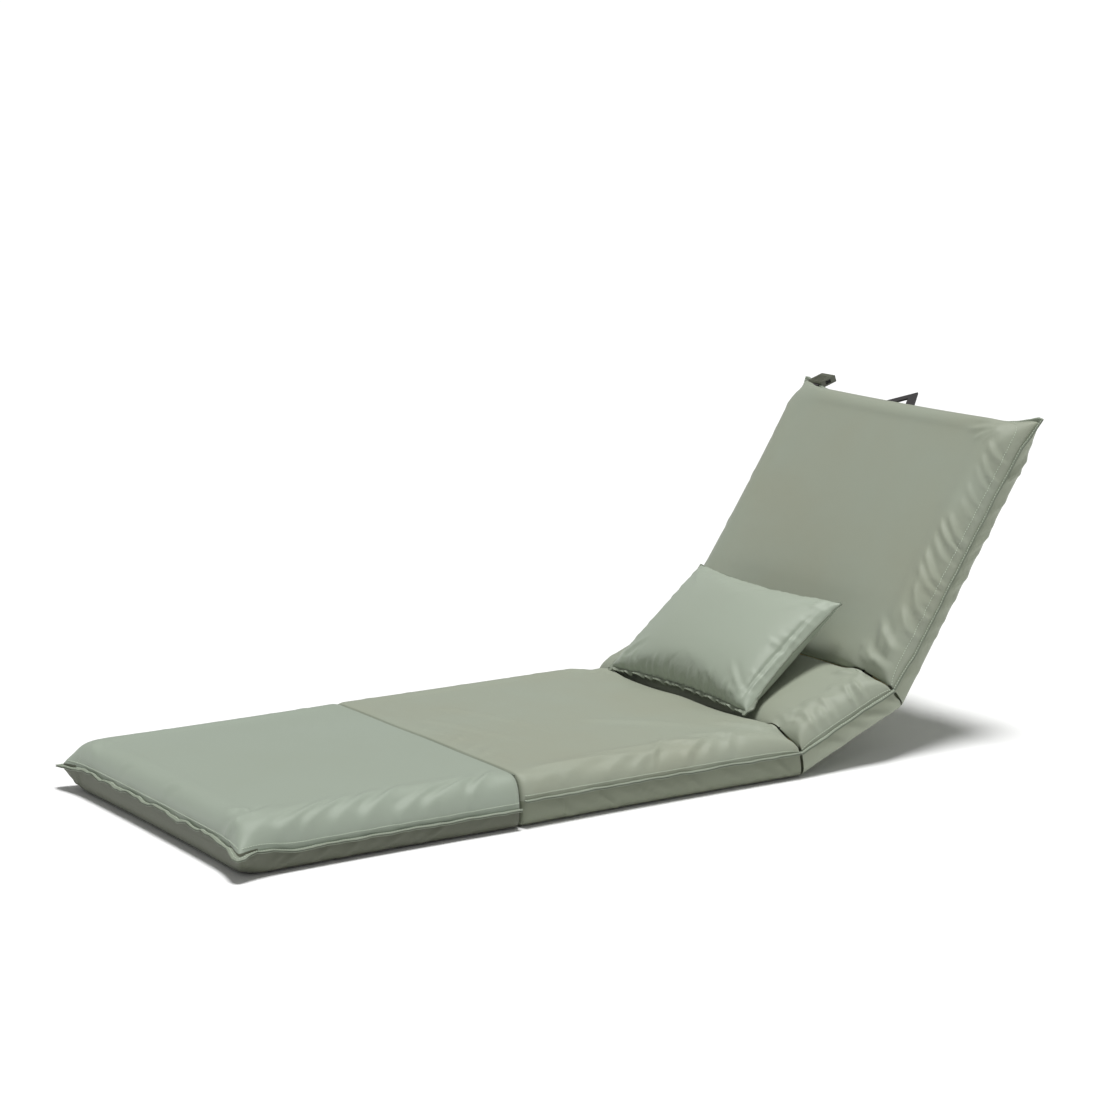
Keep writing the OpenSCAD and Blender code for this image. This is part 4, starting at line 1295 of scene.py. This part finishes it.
SECTIONS = (
    Pad(
        "foot", FOOT_L, End.FOLD, End.FREE, seed=3, draw_in=0.004, creases=FOOT_CREASES,
        ear_out=0.013, ear_reach=0.032, flange_wave=0.0018, flange_w=0.0070, seam_drop=0.012,
    ),
    Pad(
        "seat", SEAT_L, End.FOLD, End.CREASE, end_half=LUMBAR_ANGLE / 2, seed=5, draw_in=0.003,
        soft_end=0.070, creases=SEAT_CREASES, band_seams=(0.078,),
    ),
    Pad(
        "lumbar", LUMBAR_L, End.CREASE, End.CREASE, start_half=LUMBAR_ANGLE / 2,
        end_half=BACK_ANGLE / 2, seed=7, draw_in=0.0015, soft_start=0.048, soft_end=0.045,
        creases=LUMBAR_CREASES,
    ),
    Pad(
        "back", BACK_L, End.CREASE, End.FREE, start_half=BACK_ANGLE / 2, seed=11, draw_in=0.003,
        soft_start=0.050, creases=BACK_CREASES, corner=1.5, ear_out=0.023, ear_reach=0.044,
        ear_drop=0.004, flange_wave=0.0004, flange_w=0.0034, end_full=0.55, seam_drop=0.008,
        stitch_row=2,
    ),
)


# Pillow, in metres and radians
PILLOW_L, PILLOW_W, PILLOW_T = 0.400, 0.255, 0.088
PILLOW_FRONT, PILLOW_WAIST = 0.48, 0.06
PILLOW_X, PILLOW_LEAN = -0.020, math.radians(40)
PILLOW_WEDGE = PILLOW_LEAN - LUMBAR_ANGLE + math.radians(2)
# Distance from the foot, along the rear face, of the part that keeps its place
PILLOW_HOLD = 0.080
# Share of its depth in front and behind before it is filled
UNFILLED_FRONT, UNFILLED_REAR = 0.93, 0.95
# How firmly its cloth keeps its place past this share of the way to the seam, and inside
PILLOW_RIM, PILLOW_RIM_PIN, PILLOW_PIN = 0.93, 0.12, 0.04
# Folds drawn along its long seams and along its short ones, and how far they start from the corners
PILLOW_FOLDS, PILLOW_SIDE_FOLDS, FOLD_INSET = 15, 7, 0.03
PILLOW_FOOT = Vector((PILLOW_X, SEAT_L / 2 - 0.022, 0.0856))
# The pillow's own seam: narrow leaves (step out, height)
PILLOW_LEAVES = (
    (-0.003, 0.0012),
    (-0.003, -0.0012),
    (0.0030, -0.0011),
    (0.0062, -0.0014),
    (0.0066, -0.0007),
    (0.0058, 0.0),
    (0.0067, 0.0008),
    (0.0062, 0.0014),
    (0.0030, 0.0011),
)


class Pillow:
    """The loose pillow that leans on the lumbar section."""

    nx: int = 84
    ny: int = 56

    def place(self) -> Matrix:
        """Matrix from the pillow's own frame, centred, to the row frame."""
        lean = Matrix.Rotation(PILLOW_LEAN, 4, "X")
        return Matrix.Translation(PILLOW_FOOT) @ lean @ Matrix.Translation((0, PILLOW_W / 2, 0))

    @staticmethod
    def rise(u: Array, v: Array) -> Array:
        """Share of the full depth: 1 in the middle, 0 at the seam."""
        return np.clip((1 - np.abs(u) ** 2.4) * (1 - np.abs(v) ** 2.4), 0, 1) ** 0.55

    def rear(self, u: Array, v: Array) -> Array:
        """Depth of the pillow's rear behind its seam: a wedge that lies against the lumbar section."""
        wedge = np.clip(v + 1, 0, 2) / 2 * PILLOW_W * math.tan(PILLOW_WEDGE)
        return np.minimum((1 - PILLOW_FRONT) * PILLOW_T * self.rise(u, v), wedge)

    def form(self) -> tuple[Array, Array, Array]:
        """Points, quads and grid places of the pillow before it is filled."""
        keys, quads = surface_box(self.nx, self.ny, 2)
        u, v = 2 * keys[:, 0] / self.nx - 1.0, 2 * keys[:, 1] / self.ny - 1.0
        x = u * PILLOW_L / 2 * (1 - PILLOW_WAIST * (1 - v * v))
        y = v * PILLOW_W / 2 * (1 - PILLOW_WAIST * (1 - u * u))
        front = 0.0006 + PILLOW_FRONT * PILLOW_T * UNFILLED_FRONT * self.rise(u, v)
        z = np.choose(keys[:, 2], [-0.0004 - UNFILLED_REAR * self.rear(u, v), np.zeros(len(u)), front])
        return np.stack([x, y, z], 1), quads, keys

    def wrinkles(self) -> tuple[Crease, ...]:
        """Pinched folds along the seam and soft pulls from the corners."""
        hx, hy = PILLOW_L / 2, PILLOW_W / 2
        rng = np.random.default_rng(9)
        out: list[Crease] = []
        across, up = 2 * hx - 2 * FOLD_INSET, 2 * hy - 2 * FOLD_INSET
        for n in range(PILLOW_FOLDS):
            x = -hx + FOLD_INSET + n * across / (PILLOW_FOLDS - 1) + rng.uniform(-0.006, 0.006)
            for side in (-1, 1):
                far = rng.uniform(0.020, 0.050)
                y = side * hy * 0.955
                tall = 0.0013 if side < 0 else 0.0006
                out.append(Crease((x, y), (x + rng.uniform(-0.012, 0.012), y - side * far), 0.0046, tall))
        for n in range(PILLOW_SIDE_FOLDS):
            y = -hy + FOLD_INSET + n * up / (PILLOW_SIDE_FOLDS - 1) + rng.uniform(-0.005, 0.005)
            for side in (-1, 1):
                far = rng.uniform(0.022, 0.060)
                x = side * hx * 0.955
                out.append(Crease((x, y), (x - side * far, y + rng.uniform(-0.014, 0.014)), 0.0052, 0.0008))
        for side, turns in ((1, (150, 172, 196, 218)), (-1, (30, 8, 344, 322))):
            out += fan(side * hx * 0.93, -hy * 0.9, 0.10, [-t for t in turns], 0.0062, 0.0017)
            out += fan(side * hx * 0.93, hy * 0.9, 0.09, turns, 0.0062, 0.0015)
        inner = hx - 0.021
        out.append(Crease((inner, -hy + 0.008), (inner + 0.002, hy - 0.008), 0.0022, -0.0040))
        return tuple(out)

    def seam(self, co: Array, keys: Array) -> bpy.types.Object:
        """The narrow seam that stands out round the pillow, wavy along its lower edge."""
        index = {tuple(key): n for n, key in enumerate(keys)}
        walk = [(i, 0, 1) for i in range(0, self.nx)]
        walk += [(self.nx, j, 1) for j in range(0, self.ny)]
        walk += [(i, self.ny, 1) for i in range(self.nx, 0, -1)]
        walk += [(0, j, 1) for j in range(self.ny, 0, -1)]
        line = co[[index[key] for key in walk]]
        line = np.concatenate([line, line[:1]])
        s = distances(line)
        fine = np.arange(0, s[-1], 0.0025)
        line = np.stack([np.interp(fine, s, line[:, a]) for a in range(3)], 1)
        out = beside(np.roll(line, -3, axis=0) - np.roll(line, 3, axis=0))
        low = smooth((-line[:, 1] / (PILLOW_W / 2) - 0.55) / 0.3)
        closed = np.minimum(1, np.minimum(fine, fine[-1] - fine) / 0.02)
        tilt = (0.22 + 0.55 * low) * wave_noise(fine, 0.030, 21) + 0.15 * wave_noise(fine, 0.012, 22)
        out[:, 2] += tilt * closed
        wide = 0.22 + 0.78 * smooth((low - 0.1) / 0.6)
        return closed_mesh("pillow_seam", *sweep_profile(line, out, PILLOW_LEAVES, wide), self.place())

    def build(self) -> list[bpy.types.Object]:
        """Makes the pillow's cover and its seam."""
        points, quads, keys = self.form()
        obj = new_mesh("pillow_cover_skin", points, quads)
        u, v = np.abs(points[:, 0]) / (PILLOW_L / 2), np.abs(points[:, 1]) / (PILLOW_W / 2)
        rim = np.maximum(u, v)
        pins = np.where(rim > PILLOW_RIM, PILLOW_RIM_PIN, PILLOW_PIN)
        gather = smooth((rim - 0.30) / 0.5)
        settings = ClothRun(frames=22, pressure=2.4, bending=0.22, cap=0.016)
        settings.run(obj, pins, gather, PILLOW_SPARE)
        edge = self.seam(coordinates(obj), keys)
        subdivide(obj)
        co = coordinates(obj)
        emboss(obj, self.wrinkles(), np.where(co[:, 2] > 0.0015, 1.0, 0.0))
        co = coordinates(obj)
        u, v = co[:, 0] / (PILLOW_L / 2), co[:, 1] / (PILLOW_W / 2)
        inner = np.clip(np.maximum(np.abs(u), np.abs(v)), 0, 1)
        floor = -self.rear(np.clip(u, -1, 1), np.clip(v, -1, 1)) - 0.0012 * smooth((inner - 0.9) / 0.1)
        co[:, 2] = np.maximum(co[:, 2], floor)
        set_coordinates(obj, co)
        write_uv(obj, co[:, :2])
        obj.data.transform(self.place())
        obj.data.update()
        return [obj, edge]


# Grip ribs of the buckle, in metres: number, first rib, pitch, and inset from the sides
RIBS, RIB_START, RIB_PITCH, RIB_INSET = 5, 0.0065, 0.0042, 0.0035
# A rib seen from the side: (along the socket, out of its face)
RIB_PROFILE = ((-0.0009, -0.0004), (0.0009, -0.0004), (0.0004, 0.0008), (-0.0004, 0.0008))


class Recliner:
    """All the dressed pieces of the recliner."""

    def covers(self) -> None:
        """Builds and mounts the four padded covers, their flanges and their stitches."""
        stitches = StitchRow()
        for pad in SECTIONS:
            name = pad.name
            padded, flange = PaddedCover(pad), SeamFlange(pad)
            cover, edge = padded.build(), flange.build()
            seam_lines = flange.stitch_lines(SEAM_STITCH_OUT * pad.flange_w, SEAM_STITCH_UP)
            row = stitches.lay(f"{name}_seam_stitches", seam_lines, THREAD)
            top = stitches.lay(f"{name}_topstitch", padded.topstitch, THREAD)
            parts = (cover, edge, row, top)
            # The foot's cover takes the cooler copy of the cloth, which is painted cool light.
            for obj, look in zip(parts, (FOOT_CLOTH_PAINTED_LIGHT if name == "foot" else CLOTH, SEAM, THREAD, THREAD)):
                finish_piece(obj, look)
            paint_band(cover, pad)
            if name == "lumbar":
                self.mount_lumbar(pad, parts)
            else:
                self.mount(name, *parts)
            LOG.info("%s section dressed", name)

    def mount(self, name: str, cover: bpy.types.Object, *trim: bpy.types.Object) -> None:
        """Mounts the cover and the trim of the foot, seat or back section."""
        if name == "foot":
            for obj in (cover, *trim):
                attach(obj, "foot")
            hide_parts("foot_cover")
        elif name == "seat":
            for obj in (cover, *trim):
                Hinge.LUMBAR.blend(obj)
            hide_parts("seat_cover", "lumbar_crease_gusset")
        else:
            for obj in (cover, *trim):
                Hinge.BACK.blend(obj)
            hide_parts("back_cover", "back_crease_gusset")

    def mount_lumbar(self, pad: Pad, parts: Sequence[bpy.types.Object]) -> None:
        """Splits the lumbar pieces at their middle and mounts both halves."""
        point = pad.place() @ Vector((0, LUMBAR_L / 2, SEAM_Z))
        axis = Vector((0, math.cos(LUMBAR_ANGLE), math.sin(LUMBAR_ANGLE)))
        for obj in parts:
            lower, upper = split_halves(obj, point, axis)
            Hinge.LUMBAR.blend(lower)
            Hinge.BACK.blend(upper)
            if lower.name == "lumbar_cover_skin_lower":
                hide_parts("lumbar_cover")

    def pillow(self) -> None:
        """Builds the pillow, cuts it and its seam in two halves and attaches both to the pillow body."""
        lean = PILLOW_LEAN - PILLOW_WEDGE
        axis = Vector((0, math.cos(lean), math.sin(lean)))
        middle = PILLOW_FOOT + axis * PILLOW_HOLD
        # The pillow takes the lighter copy of the cloth, which is painted light.
        for obj, look in zip(Pillow().build(), (PILLOW_CLOTH_PAINTED_LIGHT, SEAM)):
            finish_piece(obj, look)
            lower, upper = split_halves(obj, middle, axis)
            for half, joint, keep in ((lower, "lumbar_recline", 0.38), (upper, "back_recline", 0.37)):
                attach(half, "pillow")
                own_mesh(half)
                if half.name == "pillow_cover_skin_lower":
                    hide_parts("pillow_cover", "pillow_filling")

    def fold_welt(self) -> None:
        """The welt of the fold, which follows the fold's slow curve."""
        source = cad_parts["fold_seam_welt"]
        corners = np.array([source.matrix_world @ Vector(c) for c in source.bound_box])
        low, high = corners.min(0), corners.max(0)
        x = np.linspace(low[0], high[0], 180)
        line = np.stack([x, FOLD_Y + fold_wave(x), np.full(len(x), (low[2] + high[2]) / 2)], 1)
        r = float(high[2] - low[2]) / 2
        level = np.tile([0.0, 1.0, 0.0], (len(x), 1))
        obj = closed_mesh("fold_welt_skin", *sweep_profile(line, level, ring(12, r)))
        finish_piece(obj, SEAM)
        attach(obj, "seat")
        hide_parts("fold_seam_welt")

    def buckle_ribs(self) -> None:
        """Grip ribs across both faces of the buckle's socket."""
        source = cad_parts["buckle_socket"]
        co = np.array([tuple(source.matrix_world @ v.co) for v in source.data.vertices])
        lean = LUMBAR_ANGLE + BACK_ANGLE - BUCKLE_LEAN
        along = np.array([0.0, math.cos(lean), math.sin(lean)])
        up = np.array([0.0, -math.sin(lean), math.cos(lean)])
        a, b, c = co @ along, co @ up, co[:, 0]
        sides = (c.min() + RIB_INSET, c.max() - RIB_INSET)
        faces = [(0, 1, 2, 3), (7, 6, 5, 4), (0, 4, 5, 1), (1, 5, 6, 2), (2, 6, 7, 3), (3, 7, 4, 0)]
        parts = []
        for face, sign in ((b.max(), 1), (b.min(), -1)):
            for n in range(RIBS):
                at = a.min() + RIB_START + n * RIB_PITCH
                rib = [(at + da, face + sign * db) for da, db in RIB_PROFILE]
                parts.append(([along * da + up * db + (x, 0, 0) for x in sides for da, db in rib], faces))
        obj = closed_mesh("buckle_grip_ribs", *join_parts(parts))
        finish_piece(obj, ACETAL)
        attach(obj, "back")

    def metal_and_trim(self) -> None:
        """Paints the carried-over solids."""
        for name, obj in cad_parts.items():
            look, slot = next((a, b) for a, b, words in LOOKS if any(word in name for word in words))
            finish_piece(obj, look)

    def build(self) -> None:
        """Builds everything."""
        self.metal_and_trim()
        self.covers()
        self.fold_welt()
        self.buckle_ribs()
        self.pillow()


# Studio: half a side of the floor and its height in metres, its grey and the sky's strength
FLOOR_HALF, FLOOR_Z = 400.0, -0.0006
FLOOR_GREY, SKY_POWER = 0.93, 0.21
# Lamps: name, direction, angle in degrees, strength
LAMPS = (
    ("key", (-0.13, -0.02, -1.30), 16, 3.15),
    ("side", (-1.0, 0.9, -0.60), 40, 0.16),
)
# The photograph's camera: direction in degrees, distance, aim and lens
CAMERA_AZ, CAMERA_EL, CAMERA_AWAY = 56.8, 10.84, 4.86
CAMERA_AT = Vector((0, -0.024, 0.359))
LENS_MM, SENSOR_MM = 98.2, 36.0


def aim(obj: bpy.types.Object, toward: Vector) -> None:
    """Turns a lamp or a camera so that it looks in a direction."""
    obj.rotation_mode = "QUATERNION"
    obj.rotation_quaternion = toward.to_track_quat("-Z", "Y")


def studio() -> None:
    """Pale floor, soft light and the photograph's camera."""
    scene = bpy.context.scene
    scene.view_settings.view_transform = "Standard"
    square = [(a * FLOOR_HALF, b * FLOOR_HALF, FLOOR_Z) for a, b in ((-1, -1), (1, -1), (1, 1), (-1, 1))]
    floor = new_mesh("floor", np.array(square), [(0, 1, 2, 3)])
    pale = bpy.data.materials.new("Pale floor")
    pale.use_nodes = True
    grey = (FLOOR_GREY, FLOOR_GREY, FLOOR_GREY, 1)
    set_inputs(pale.node_tree.nodes["Principled BSDF"], Base_Color=grey, Roughness=0.9)
    floor.data.materials.append(pale)
    world = bpy.data.worlds.new("Studio")
    scene.world = world
    world.use_nodes = True
    set_inputs(world.node_tree.nodes["Background"], Color=(1.0, 1.0, 1.0, 1), Strength=SKY_POWER)
    for name, toward, angle, power in LAMPS:
        light = bpy.data.lights.new(name, "SUN")
        light.angle, light.energy = math.radians(angle), power
        lamp = link_object(name, light)
        lamp.location = (0, 0, 4)
        aim(lamp, Vector(toward))
    camera = bpy.data.cameras.new("camera")
    camera.lens, camera.sensor_width = LENS_MM, SENSOR_MM
    camera.clip_start, camera.clip_end = 0.1, 1500
    holder = link_object("camera", camera)
    az, el = math.radians(CAMERA_AZ), math.radians(CAMERA_EL)
    away = Vector((math.sin(az) * math.cos(el), -math.cos(az) * math.cos(el), math.sin(el)))
    holder.location = CAMERA_AT + away * CAMERA_AWAY
    aim(holder, -away)
    scene.camera = holder


def main() -> None:
    """Builds the dressed recliner and its studio."""
    logging.basicConfig(level=logging.INFO)
    Recliner().build()
    studio()


if __name__ == "__main__":
    main()
